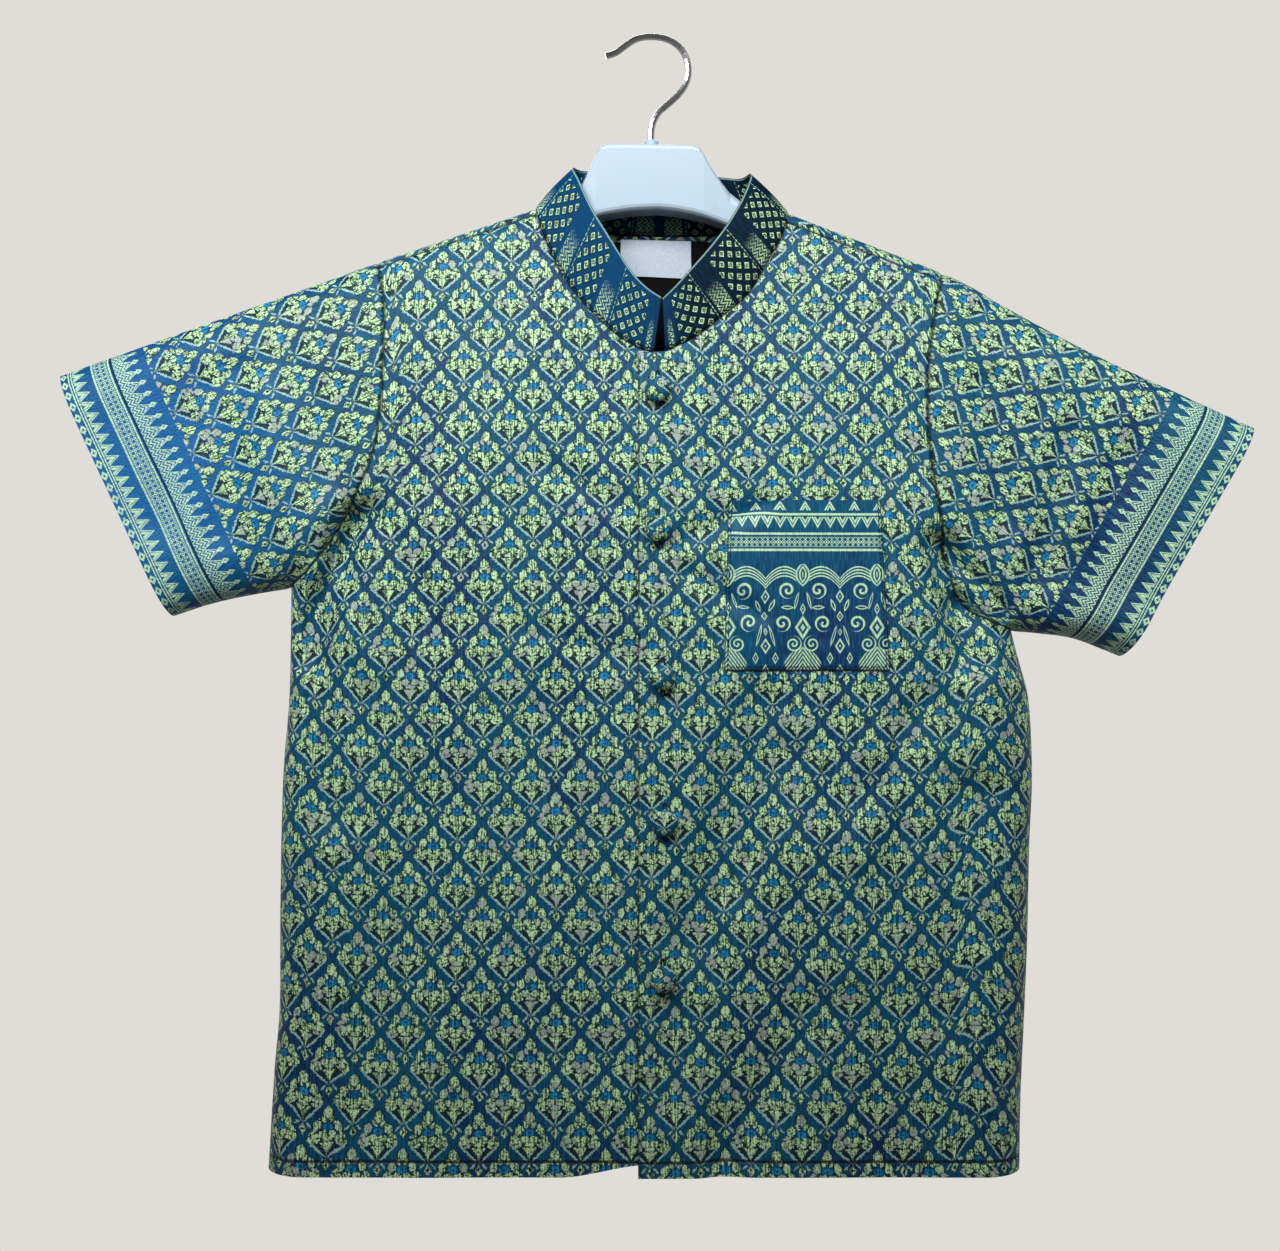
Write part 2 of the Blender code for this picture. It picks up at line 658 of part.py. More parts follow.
def collar(front_right, front_left, back_points):
    """A band that stands on the neckline and leans in, from one front end round to the other."""
    right_neck = front_right[NECK_CELLS::-1, 0]
    left_neck = front_left[: NECK_CELLS + 1, 0]
    right_end = beside_centre(right_neck, COLLAR_ROWS[0][0])
    ends = np.array([right_end, beside_centre(left_neck, COLLAR_ROWS[-1][0])])
    first, last = len(SHOULDER_SHARES) - 1, -len(SHOULDER_SHARES)
    strip = len(STRIP_SHARES)
    seam = np.vstack(
        [
            ends[:1],
            right_neck[right_neck[:, 0] < ends[0, 0] - 2],
            back_points[1 : strip + 1, first],
            back_points[strip, first + 1 : last],
            back_points[strip:0:-1, last],
            left_neck[left_neck[:, 0] > ends[1, 0] + 2],
            ends[1:],
        ]
    )
    fine = along(COLLAR_ROWS, np.linspace(0, 1, 1001))
    nearest = [
        np.argmin(np.linalg.norm(fine[:500, :2] - (x, z), axis=1))
        if x < COLLAR_ROWS[9][0]
        else 500 + np.argmin(np.linalg.norm(fine[500:, :2] - (x, z), axis=1))
        for x, _, z in seam
    ]
    edge = fine[np.maximum.accumulate(nearest), 2:]
    rise = (edge - seam) / np.linalg.norm(edge - seam, axis=1)[:, None]
    heights = np.linspace(0, 1, 5)[:, None, None]
    points = mixed((seam + rise * GAP)[None], edge[None], heights)
    outward = np.cross(np.gradient(points, axis=1), rise[None])
    outward /= np.linalg.norm(outward, axis=2)[..., None]
    middle = points.mean(axis=(0, 1))
    outward *= np.sign(((points - middle) * outward).sum())
    return points + outward * COLLAR_BULGE * np.sin(math.pi * heights), outward


# Pieces that lie on the cloth, made from its points and moved out or in


def pocket():
    across, down = np.linspace(0, 1, 11)[None, :, None], np.linspace(0, 1, 12)[:, None, None]
    corners = {
        end: [np.array((x, POCKET[end][2])) for x in POCKET[end][:2]] for end in ("top", "bottom")
    }
    grid = mixed(mixed(*corners["top"], across), mixed(*corners["bottom"], across), down)
    points, outward = skin(grid, "front")
    return points + outward * (CURVED_GAP + WALL), outward


def back_lining():
    """The black lining inside the back, as far down as it shows through the neck."""
    down = np.linspace(0, 1, 12)[:, None]
    across = np.linspace(-1, 1, 15)[None, :]
    half = mixed(LINING["top half"], LINING["bottom half"], smooth(down * 2))
    x = 7.0 + half * across
    z = mixed(LINING["top"], LINING["bottom"], down) - LINING["rise"] * across**2 * (1 - down)
    points, outward = skin(np.stack([x, z * np.ones_like(x)], axis=2), "back")
    return points - outward * (WALL + CURVED_GAP), outward


def neck_label():
    across, down = np.linspace(0, 1, 5)[None, :], np.linspace(0, 1, 5)[:, None]
    x = mixed(LABEL["left"], LABEL["right"], across) * np.ones_like(down)
    z = mixed(LABEL["top"], LABEL["bottom"], down) - across
    points, outward = skin(np.stack([x, z], axis=2), "back")
    return points - outward * (WALL + LINING_WALL + CURVED_GAP + GAP), outward


def button(name, x, z):
    """A domed button on the upper front, its axis along the cloth's outward direction."""
    points, outward = skin([(x, z)], "front")
    seat, axis = lap(points)[0] + outward[0] * GAP, outward[0]
    side_way = np.cross((0, 0, 1.0), axis)
    side_way /= np.linalg.norm(side_way)
    up_way = np.cross(axis, side_way)
    profile = [(BUTTON_RADIUS - 1.2, 0.0), (BUTTON_RADIUS - 0.2, 0.5)]
    dome = BUTTON_HEIGHT - BUTTON_RIM_HEIGHT
    for turn in np.radians([0, 18, 36, 54, 72]):
        profile.append((BUTTON_RADIUS * math.cos(turn), BUTTON_RIM_HEIGHT + dome * math.sin(turn)))
    sides = 16
    points = []
    for radius, height in profile:
        for turn in np.linspace(0, 2 * math.pi, sides, endpoint=False):
            across = side_way * math.cos(turn) + up_way * math.sin(turn)
            points.append(seat + across * radius + axis * height)
    points += [seat, seat + axis * BUTTON_HEIGHT]
    last = (len(profile) - 1) * sides
    faces = []
    for k in range(sides):
        after = (k + 1) % sides
        for low in range(0, last, sides):
            faces.append([low + k, low + after, low + sides + after, low + sides + k])
        faces.append([len(points) - 2, after, k])
        faces.append([last + k, last + after, len(points) - 1])
    return solid(name, points, faces, "brocade")


# Hanger


def ridge_height(x):
    line = along(SHOULDER_LINE["right" if x < 0 else "left"], np.linspace(0, 1, 200))
    order = np.argsort(line[:, 0])
    return float(np.interp(x, line[order, 0], line[order, 1]))


def hanger_ring(x, top, bottom, half):
    """One section of the hanger: a rectangle across the bar with rounded corners."""
    if top is None:
        top = ridge_height(x) - (WALL + CURVED_GAP) * RIDGE_SLANT
    is_arm = half <= ARM_HALF
    upper = min(ARM_ROUND if is_arm else EASED, half - 0.4)
    corners = [
        (half - upper, top - upper, upper, 0),
        (-half + upper, top - upper, upper, 90),
        (-half + EASED, bottom + EASED, EASED, 180),
        (half - EASED, bottom + EASED, EASED, 270),
    ]
    ring = []
    for y, z, radius, start in corners:
        for turn in np.radians(start + np.array([1, 31, 59, 89])):
            ring.append((x, y + radius * math.cos(turn), z + radius * math.sin(turn)))
    return ring


def hanger():
    """A lofted bar: a wide plate at the neck that flares into two arms under the shoulders."""
    rings = [hanger_ring(*row) for row in HANGER_ROWS]
    around = len(rings[0])
    points = [point for ring in rings for point in ring]
    faces = []
    for i in range(len(rings) - 1):
        for j in range(around):
            a, b = i * around + j, i * around + (j + 1) % around
            faces.append([a, b, b + around, a + around])
    faces.append(list(range(around))[::-1])
    last = (len(rings) - 1) * around
    faces.append(list(range(last, last + around)))
    return solid("hanger", points, faces, "hanger plastic")


def hook():
    """The steel hook: a bevelled curve along the wire's centre."""
    path = along(HOOK_POINTS, np.linspace(0, 1, HOOK_STEPS))
    curve = bpy.data.curves.new("hook", "CURVE")
    curve.dimensions = "3D"
    curve.bevel_depth = WIRE / 2 * MM
    curve.bevel_resolution = 2
    curve.use_fill_caps = True
    spline = curve.splines.new("POLY")
    spline.points.add(len(path) - 1)
    for point, (x, z) in zip(spline.points, path):
        point.co = (x * MM, 0, z * MM, 1)
    curve.materials.append(material("hook steel"))
    made = bpy.data.objects.new("hook", curve)
    bpy.context.scene.collection.objects.link(made)
    return made


def ferrule():
    """The short white socket that holds the wire on top of the plate."""
    bore, radius, height = FERRULE["bore"], FERRULE["radius"], FERRULE["height"]
    profile = [
        (bore, 0.0),
        (radius, 0.0),
        (radius, height - FERRULE["ease"]),
        (radius - FERRULE["ease"], height),
        (bore, height),
    ]
    sides, across = 20, len(profile)
    points, faces = [], []
    for k, turn in enumerate(np.linspace(0, 2 * math.pi, sides, endpoint=False)):
        for out, up in profile:
            x, y = out * math.cos(turn), out * math.sin(turn)
            points.append((HOOK_POINTS[0][0] + x, y, PLATE_TOP + GAP + up))
        a, b = k * across, (k + 1) % sides * across
        for j in range(across):
            after = (j + 1) % across
            faces.append([a + j, b + j, b + after, a + after])
    return solid("hook_ferrule", points, faces, "hanger plastic")


front_right, front_left = front("right"), front("left")
back_points, back_outward, back_cells = back()
wall("front_right", *front_right, "brocade")
wall("front_left", *front_left, "brocade")
wall("back", back_points, back_outward, "brocade", cells=back_cells)
wall("sleeve_right", *sleeve("right"), "border brocade", ring=True)
wall("sleeve_left", *sleeve("left"), "border brocade", ring=True)
wall("collar", *collar(front_right[0], front_left[0], back_points), "collar brocade")
wall("pocket", *pocket(), "border brocade")
wall("back_lining", *back_lining(), "black lining", thickness=LINING_WALL)
wall("neck_label", *neck_label(), "label satin", thickness=LABEL_WALL)
for count, (button_x, button_z) in enumerate(BUTTONS, start=1):
    button(f"button_{count}", button_x, button_z)
hanger()
hook()
ferrule()
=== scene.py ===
# %% [markdown]
# # A brocade shirt with a stand collar, on its hanger
# This lesson dresses a plain solid model of a child's short-sleeved shirt. The solids give the right
# size and place of every piece. Here each cut piece gets its own thin cloth, its woven pattern, its
# seams and its folds, and the hanger gets its plastic and steel.
#
# First the solid model is loaded. It stays fixed, and everything new is set against it.

# %% Load the solid model
import math

import bmesh
import bpy
import numpy as np
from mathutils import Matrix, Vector


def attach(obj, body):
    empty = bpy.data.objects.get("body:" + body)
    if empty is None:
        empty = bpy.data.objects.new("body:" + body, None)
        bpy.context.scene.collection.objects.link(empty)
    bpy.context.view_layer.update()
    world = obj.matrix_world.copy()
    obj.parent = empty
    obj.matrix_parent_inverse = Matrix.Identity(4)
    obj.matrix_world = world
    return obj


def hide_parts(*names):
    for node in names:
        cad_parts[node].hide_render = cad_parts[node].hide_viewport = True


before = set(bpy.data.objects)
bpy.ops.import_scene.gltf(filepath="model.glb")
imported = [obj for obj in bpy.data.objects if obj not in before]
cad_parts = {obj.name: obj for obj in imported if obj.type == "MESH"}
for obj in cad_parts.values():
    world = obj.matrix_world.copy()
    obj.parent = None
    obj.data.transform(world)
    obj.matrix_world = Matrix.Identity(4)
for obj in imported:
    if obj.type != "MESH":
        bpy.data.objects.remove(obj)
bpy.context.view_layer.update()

# %% [markdown]
# The picture was taken from straight ahead, about a metre away, at half the shirt's height. A camera
# 36 mm across with a lens of 47.7 mm sees the same field.

# %% Camera
bpy.ops.object.select_all(action="DESELECT")
bpy.ops.object.camera_add(location=(-0.005, -0.95, -0.3279), rotation=(math.radians(90), 0, 0))
camera = bpy.context.object
camera.name = "camera"
camera.data.lens = 47.7
camera.data.sensor_width = 36
camera.data.sensor_fit = "HORIZONTAL"
camera.data.clip_start = 0.05
bpy.context.scene.camera = camera
print("camera looks along +Y from", tuple(camera.location))

# %% [markdown]
# A pattern cutter draws each piece with smooth curves through a few marked points. So do we: a table
# holds the marks, and this helper gives points at equal shares of the curve's length. All the tables
# are in millimetres, seen from the front. "right" is the wearer's right, at -X.

# %% Curves through marked points
MM = 0.001
CURVE_STEPS = 12
SIDES = ("right", "left")


def running(step, axis):
    """The running sum of steps along an axis, with 0 first."""
    zero = np.zeros_like(np.take(step, [0], axis=axis))
    return np.concatenate([zero, np.cumsum(step, axis=axis)], axis=axis)


def along(rows, shares):
    """Points at shares of the length of a smooth curve through the rows."""
    rows = np.asarray(rows, float)
    knots = np.vstack([2 * rows[0] - rows[1], rows, 2 * rows[-1] - rows[-2]])
    fine = [rows[0]]
    for i in range(1, len(knots) - 2):
        a, b, c, d = knots[i - 1 : i + 3]
        for t in np.linspace(0, 1, CURVE_STEPS + 1)[1:]:
            cubic = (3 * b - a - 3 * c + d) * t**3
            fine.append(0.5 * (2 * b + (c - a) * t + (2 * a - 5 * b + 4 * c - d) * t**2 + cubic))
    fine = np.array(fine)
    lengths = running(np.linalg.norm(np.diff(fine, axis=0), axis=1), 0)
    wanted = np.asarray(shares, float) * lengths[-1]
    return np.stack([np.interp(wanted, lengths, fine[:, k]) for k in range(rows.shape[1])], axis=1)


def smooth(t):
    t = np.clip(t, 0, 1)
    return t * t * (3 - 2 * t)


def mixed(start, end, share):
    return start * (1 - share) + end * share


def finer(values, times):
    """The same run of numbers with more steps between them."""
    count = len(values)
    return np.interp(np.linspace(0, count - 1, (count - 1) * times + 1), np.arange(count), values)


# %% [markdown]
# The outline comes first, as a cutter chalks it: for each side the shoulder line, which runs on along
# the top of the sleeve, the underside of the sleeve, the side seam, the armhole and the neckline. The
# two sides differ, because the shirt hangs a little turned on its hanger.

# %% The shirt's outline
CENTRE_X = 5.0
PLACKET_X, UNDERLAP_X = -6.0, 22.0
HEM_Z, HEM_LIFT, LIFT_REACH = -630.0, 7.0, 50.0
SHOULDER_LINE = {
    "right": [(-63.8, -95.2), (-154.0, -126.0), (-240.0, -156.5), (-328.7, -188.2)],
    "left": [
        (78.5, -97.9), (167.4, -132.7), (197.7, -149.0), (249.2, -176.4), (300.7, -200.2), (337.7, -217.3),
    ],
}
UNDERARM = {"right": (-200.0, -307.0), "left": (202.5, -331.0)}
SLEEVE_UNDER = {
    "right": [UNDERARM["right"], (-221.8, -310.6), (-243.6, -315.3), (-266.0, -322.6)],
    "left": [UNDERARM["left"], (220.0, -332.5), (239.0, -335.5), (263.2, -345.0)],
}
SIDE_SEAM = {
    "right": [
        UNDERARM["right"], (-200.2, -336.0), (-201.0, -370.0), (-204.4, -414.0),
        (-206.0, -482.0), (-206.3, -540.0), (-209.2, -575.0), (-212.6, -630.0),
    ],
    "left": [
        UNDERARM["left"], (206.0, -345.0), (212.0, -370.0), (213.9, -412.0), (212.4, -450.0),
        (211.4, -500.0), (209.6, -545.0), (207.6, -590.0), (207.0, -630.0),
    ],
}
ARMHOLE = {
    "right": [
        (-151.5, -125.15), (-149.6, -131.2), (-146.3, -148.8), (-146.0, -170.0), (-147.0, -200.0),
        (-150.1, -227.7), (-158.5, -251.0), (-170.0, -273.5), (-184.4, -294.5), UNDERARM["right"],
    ],
    "left": [
        (163.5, -131.2), (161.0, -137.8), (156.6, -160.0), (153.4, -185.0), (152.8, -205.0),
        (154.3, -235.0), (159.5, -266.0), (165.5, -298.4), (176.0, -319.0), UNDERARM["left"],
    ],
}
NECKLINE = {
    "right": [
        (-62.5, -99.1), (-58.0, -113.0), (-49.0, -132.8), (-36.9, -149.9),
        (-20.4, -166.1), (-9.4, -173.8), (2.1, -178.2), (UNDERLAP_X, -179.5),
    ],
    "left": [
        (76.1, -104.0), (73.0, -114.0), (64.7, -128.2), (54.8, -145.2), (41.1, -157.3),
        (26.8, -168.8), (16.4, -174.3), (8.7, -177.6), (PLACKET_X, -178.6),
    ],
}
BACK_NECKLINE = [
    (-63.8, -95.2), (-50.0, -101.5), (-25.0, -106.0), (7.0, -107.5),
    (38.0, -107.0), (64.0, -104.0), (78.5, -97.9),
]
print("outline tables for", ", ".join(SHOULDER_LINE), "sides")

# %% [markdown]
# The shirt hangs as a flattened bag. At each height it has a depth in front of and behind the hanger,
# and it rounds over at its closed edges. Folds are troughs and ridges along short lines, pressed into
# that depth. The deep ones run from the underarms, where the sleeve hangs from the armhole.

# %% Depth and folds
WALL, GAP, CURVED_GAP = 1.4, 0.3, 0.9
LAP_RISE, LAP_ENDS, LAP_BLEND = 2.3, 26.0, 14.0
SEAM_FORWARD = {"right": 4.1, "left": 6.5}
SHOULDER_ROUND, SLEEVE_ROUND, SIDE_ROUND = 14.0, 26.0, 24.0
SLEEVE_SHARE, SLEEVE_STARTS, SLEEVE_REACHED = 0.72, 150.0, 215.0
DEPTH_ROWS = [  # z, front, back
    (-640, 22.0, 12.0), (-560, 23.5, 12.5), (-450, 24.5, 13.5), (-330, 24.5, 14.0), (-240, 23.0, 14.0),
    (-180, 20.5, 14.0), (-135, 16.5, 14.0), (-100, 13.0, 13.6), (-60, 12.5, 13.4),
]
FOLDS = [  # side, from x, z, to x, z, half width, depth of the trough (a ridge where negative)
    ("front", -158, -268, -186, -345, 9, 7.0), ("front", -176, -262, -204, -300, 8, -3.0),
    ("front", 160, -285, 176, -345, 9, 8.0), ("front", 172, -316, 202, -338, 7, 5.0),
    ("front", 186, -352, 180, -400, 13, -4.0), ("front", 72, -400, 48, -472, 12, 3.5),
    ("front", 34, -500, 8, -580, 14, 2.0), ("front", 96, -452, 112, -510, 20, -3.0),
    ("front", -214, -206, -196, -268, 16, -3.0), ("front", 210, -196, 226, -262, 20, -3.0),
    ("back", -150, -250, -192, -340, 12, 5.0), ("back", 150, -260, 192, -350, 12, 5.0),
    ("back", -40, -180, -70, -560, 24, 3.0), ("back", 60, -200, 82, -600, 26, 3.0),
]
SOFT_FOLDS = [  # lighter creases and puckers, in the same columns
    ("front", -164, -270, -190, -330, 6, 5.0), ("front", -186, -345, -176, -430, 12, 3.0),
    ("front", -150, -262, -120, -330, 10, 2.0), ("front", -180, -300, -150, -352, 8, -2.0),
    ("front", -12, -262, -60, -240, 6, 1.6), ("front", -10, -345, -70, -330, 7, 1.6),
    ("front", 20, -280, 62, -262, 6, 2.2), ("front", 22, -300, 60, -322, 6, 2.0),
    ("front", 62, -372, 20, -500, 12, 3.2), ("front", 128, -398, 118, -450, 12, -3.0),
    ("front", 150, -372, 120, -420, 9, 3.0), ("front", 174, -420, 160, -540, 16, 2.6),
    ("front", 88, -540, 40, -620, 12, 2.4), ("front", -120, -420, -150, -600, 22, 2.2),
    ("front", -60, -380, -78, -560, 26, 2.0), ("front", -100, -170, -120, -240, 18, 1.8),
    ("front", 104, -170, 128, -236, 18, 1.8), ("front", -226, -190, -236, -276, 10, 2.6),
    ("front", -250, -196, -268, -270, 12, 2.0), ("front", 188, -196, 196, -270, 9, 3.0),
    ("front", 232, -226, 214, -300, 9, 3.0), ("front", 262, -236, 244, -300, 12, 2.2),
    ("front", 166, -288, 196, -320, 5, 4.5), ("front", 182, -340, 206, -352, 6, 3.0),
    ("front", -30, -440, -34, -560, 20, 1.8), ("front", -196, -470, -186, -600, 14, 2.0),
    ("back", -120, -190, -150, -250, 16, 2.6), ("back", 130, -200, 156, -262, 16, 2.6),
    ("back", 0, -150, 6, -420, 22, 2.2), ("back", -130, -360, -150, -600, 24, 2.6),
    ("back", 140, -370, 150, -600, 24, 2.6), ("back", 14, -460, -10, -610, 20, -2.0),
    ("back", -230, -200, -238, -280, 12, 2.4), ("back", 236, -226, 226, -300, 12, 2.4),
]
FOLD_STRENGTH, FOLD_REACH = 1.35, 1.8
UNDERARM_Z, UNDERARM_BLEND = -345, 40
print(len(FOLDS), "large folds and", len(SOFT_FOLDS), "soft ones")

# %% [markdown]
# To round the cloth over, its distance from the nearest closed edge is needed. An edge is a chain of
# short straight stretches. It is carried on past its ends, so that the open cuffs and the open hem
# stay as deep as the cloth next to them.

# %% Edges and distances
RUN_ON, FINE = 70.0, np.linspace(0, 1, 49)
ON_THE_LINE = 0.25  # closer than this counts as on the line
CHEST = np.array([CENTRE_X, -200.0])  # a place inside every edge


def run_on(points):
    """The polyline with its last stretch carried on past its end."""
    step = points[-1] - points[-2]
    return np.vstack([points, points[-1] + step / np.linalg.norm(step) * RUN_ON])


def top_edge(side):
    return run_on(run_on(along(SHOULDER_LINE[side], FINE))[::-1])


def low_edge(side):
    sleeve_under = run_on(along(SLEEVE_UNDER[side], FINE))[::-1]
    return np.vstack([sleeve_under, run_on(along(SIDE_SEAM[side], FINE))[1:]])


TOP_EDGES = {side: top_edge(side) for side in SIDES}
LOW_EDGES = {side: low_edge(side) for side in SIDES}
print("each top edge has", len(TOP_EDGES["right"]), "points")


def distance(points, line):
    """How far points are from a polyline, and the direction away from it."""
    best = np.full(len(points), 1e9)
    away = np.zeros_like(points)
    square = np.zeros_like(points)
    for start, step in zip(line[:-1], np.diff(line, axis=0)):
        share = np.clip((points - start) @ step / (step @ step), 0, 1)
        offset = points - start - share[:, None] * step
        length = np.hypot(offset[:, 0], offset[:, 1])
        nearer = length < best
        best[nearer], away[nearer] = length[nearer], offset[nearer]
        square[nearer] = np.array([step[1], -step[0]]) / np.hypot(*step)
    square *= np.where((square * (CHEST - points)).sum(1) < 0, -1.0, 1.0)[:, None]
    clear = best > ON_THE_LINE
    away = np.where(clear[:, None], away / np.maximum(best, 1e-9)[:, None], square)
    return np.where(clear, best, 0.0), away


def nearest_edge(points, edges):
    right_length, right_away = distance(points, edges["right"])
    left_length, left_away = distance(points, edges["left"])
    nearer = right_length < left_length
    return np.where(nearer, right_length, left_length), np.where(nearer[:, None], right_away, left_away)


# %% [markdown]
# The depth, the folds and the rounding together give the cloth's outer face. The same sums give its
# slope, and so the direction out of the cloth, along which seams are drawn in and the pocket is raised.

# %% The cloth's outer face
def rounding(length, radius):
    """The squared share of the full depth at a distance from an edge, and its slope."""
    short = np.clip(1 - length / radius, 0, 1)
    return 1 - short**2, 2 * short / radius


def sleeve_share(points):
    return smooth((abs(points[:, 0] - CENTRE_X) - SLEEVE_STARTS) / (SLEEVE_REACHED - SLEEVE_STARTS))


def full_depth(points, face):
    """Depth of the cloth far from any edge, with its folds and its slight unevenness."""
    heights, front_depths, back_depths = zip(*DEPTH_ROWS)
    depth = np.interp(points[:, 1], heights, front_depths if face == "front" else back_depths)
    above_underarm = smooth((points[:, 1] - UNDERARM_Z) / UNDERARM_BLEND)
    depth = depth * (1 - (1 - SLEEVE_SHARE) * sleeve_share(points) * above_underarm)
    for fold_face, x0, z0, x1, z1, width, trough in FOLDS + SOFT_FOLDS:
        if fold_face == face:
            start, step = np.array([x0, z0], float), np.array([x1 - x0, z1 - z0], float)
            share = np.clip((points - start) @ step / (step @ step), 0, 1)
            length = np.linalg.norm(points - start - share[:, None] * step, axis=1)
            depth = depth - FOLD_STRENGTH * trough * smooth(1 - length / (FOLD_REACH * width))
    x, z = points[:, 0], points[:, 1]
    uneven = np.sin(x / 31 + 0.6 * np.sin(z / 47)) * np.sin(z / 58 + 1.1) * 0.5
    return depth + uneven + 0.3 * np.sin(x / 17 - z / 29 + 0.4)


def skin(places, face):
    """Points on the cloth's outer face, and the directions out of it, for x, z seen from the front."""
    places = np.asarray(places, float)
    flat = places.reshape(-1, 2)
    top_length, top_away = nearest_edge(flat, TOP_EDGES)
    low_length, low_away = nearest_edge(flat, LOW_EDGES)
    top, top_slope = rounding(top_length, mixed(SHOULDER_ROUND, SLEEVE_ROUND, sleeve_share(flat)))
    low, low_slope = rounding(low_length, SIDE_ROUND)
    slope = top_away * (top_slope * low)[:, None] + low_away * (low_slope * top)[:, None]
    depth = full_depth(flat, face)
    step = 0.5
    depth_slope = [
        (full_depth(flat + shift, face) - full_depth(flat - shift, face)) / (2 * step)
        for shift in np.eye(2) * step
    ]
    facing = -1.0 if face == "front" else 1.0
    y = facing * depth * np.sqrt(top * low)
    slope = 2 * (depth * top * low)[:, None] * np.stack(depth_slope, axis=1) + (depth**2)[:, None] * slope
    outward = np.stack([-slope[:, 0], 2 * y, -slope[:, 1]], axis=1)
    outward /= np.linalg.norm(outward, axis=1)[:, None]
    points = np.stack([flat[:, 0], y, flat[:, 1]], axis=1)
    shape = places.shape[:-1] + (3,)
    return points.reshape(shape), outward.reshape(shape)


middle = skin([(100.0, -450.0)], "front")[0][0]
print("the front stands", round(-middle[1], 1), "mm before the hanger at the belly")

# %% [markdown]
# Each cut piece starts as Blender's flat grid, as cloth lies on the cutting table. Its points are then
# moved to where the piece hangs. A UV map keeps where each point lay on the bolt, so that the woven
# pattern follows the cloth over its folds. Solidify gives it its thickness.

# %% Helper: a piece of cloth from a grid
FAR_FROM_SEAM = 99.0
CLOTH_ANGLE, BUTTON_ANGLE = 50, 60


def set_marks(mesh, cloth_map, seam):
    """Each point's place on the bolt, as UVs, and its distance from a seam."""
    corner = np.empty(len(mesh.loops), int)
    mesh.loops.foreach_get("vertex_index", corner)
    mesh.uv_layers.active.data.foreach_set("uv", cloth_map.reshape(-1, 2)[corner].ravel())
    marks = mesh.attributes.new("seam_mm", "FLOAT", "POINT")
    marks.data.foreach_set("value", np.clip(seam, 0, FAR_FROM_SEAM).ravel())


def cut_out(mesh, unused):
    """Deletes the grid's unused faces."""
    shell = bmesh.new()
    shell.from_mesh(mesh)
    shell.faces.ensure_lookup_table()
    bmesh.ops.delete(shell, geom=[shell.faces[i] for i in unused], context="FACES")
    shell.to_mesh(mesh)
    shell.free()


def finish(piece, angle):
    """Smooth shading up to an angle, and the piece fixed to the one body."""
    bpy.ops.object.select_all(action="DESELECT")
    piece.select_set(True)
    bpy.context.view_layer.objects.active = piece
    for modifier in piece.modifiers.keys():
        bpy.ops.object.modifier_apply(modifier=modifier)
    bpy.ops.object.shade_smooth_by_angle(angle=math.radians(angle))
    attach(piece, "root")
    print(piece.name, len(piece.data.polygons), "faces")


def sew(node, points, outward, cloth_map, seam=FAR_FROM_SEAM, thickness=1.2, cells=None):
    """A cloth piece over rows and columns of points in millimetres, in the place of its solid."""
    rows, columns = points.shape[:2]
    name = node.removeprefix("back_").removeprefix("neck_") + "_cloth"
    bpy.ops.object.select_all(action="DESELECT")
    bpy.ops.mesh.primitive_grid_add(x_subdivisions=columns - 1, y_subdivisions=rows - 1, size=1)
    piece = bpy.context.object
    piece.name = piece.data.name = name
    mesh = piece.data
    mesh.vertices.foreach_set("co", (points.reshape(-1, 3) * MM).ravel())
    set_marks(mesh, cloth_map, np.broadcast_to(seam, (rows, columns)))
    if cells is not None:
        cut_out(mesh, np.flatnonzero(~cells.ravel()))
    mesh.update()
    normals = np.array([vertex.normal for vertex in mesh.vertices])
    if (normals * outward.reshape(-1, 3)[: len(normals)]).sum() < 0:
        mesh.flip_normals()
    wall = piece.modifiers.new("wall", "SOLIDIFY")
    wall.thickness, wall.offset = thickness * MM, -1
    finish(piece, CLOTH_ANGLE)
    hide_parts(node)
    return piece


def turn_in_depth(points, axis):
    """Extra length of each step along the cloth that a view from the front doesn't show."""
    step = np.diff(points, axis=axis)
    return np.linalg.norm(step, axis=-1) - np.linalg.norm(step[..., [0, 2]], axis=-1)


# %% [markdown]
# The pattern was woven about 26 mm wide and 35 mm high, and it looks a little larger toward the hem.
# The map counts in whole patterns, so a flower's heart is wherever both numbers are whole.

# %% Where the body's pattern falls
REPEAT_WIDE, REPEAT_HIGH = 25.9, 34.6
GROWS_WIDE, GROWS_HIGH = 0.0050, 0.0155  # for each millimetre further down
REPEAT_AT_Z = -230.0
FLOWER_AT = {"right": (-37.6, -197.1), "left": (28.3, -198.4), "back": (5.0, -200.0)}


def repeats(u, v, flower):
    """Counts of pattern repeats across and up from a flower's heart."""
    wide = REPEAT_WIDE + GROWS_WIDE * (REPEAT_AT_Z - v)
    high = REPEAT_HIGH + GROWS_HIGH * (REPEAT_AT_Z - v)
    high_there = REPEAT_HIGH + GROWS_HIGH * (REPEAT_AT_Z - flower[1])
    return np.stack([(u - flower[0]) / wide, -np.log(high / high_there) / GROWS_HIGH], axis=-1)


# %% [markdown]
# A sewn edge is drawn inward by its thread, and the upper front stands off the lower one where they
# lap. These helpers give armholes, hems, laps and dips to the fronts, and later to the other pieces.

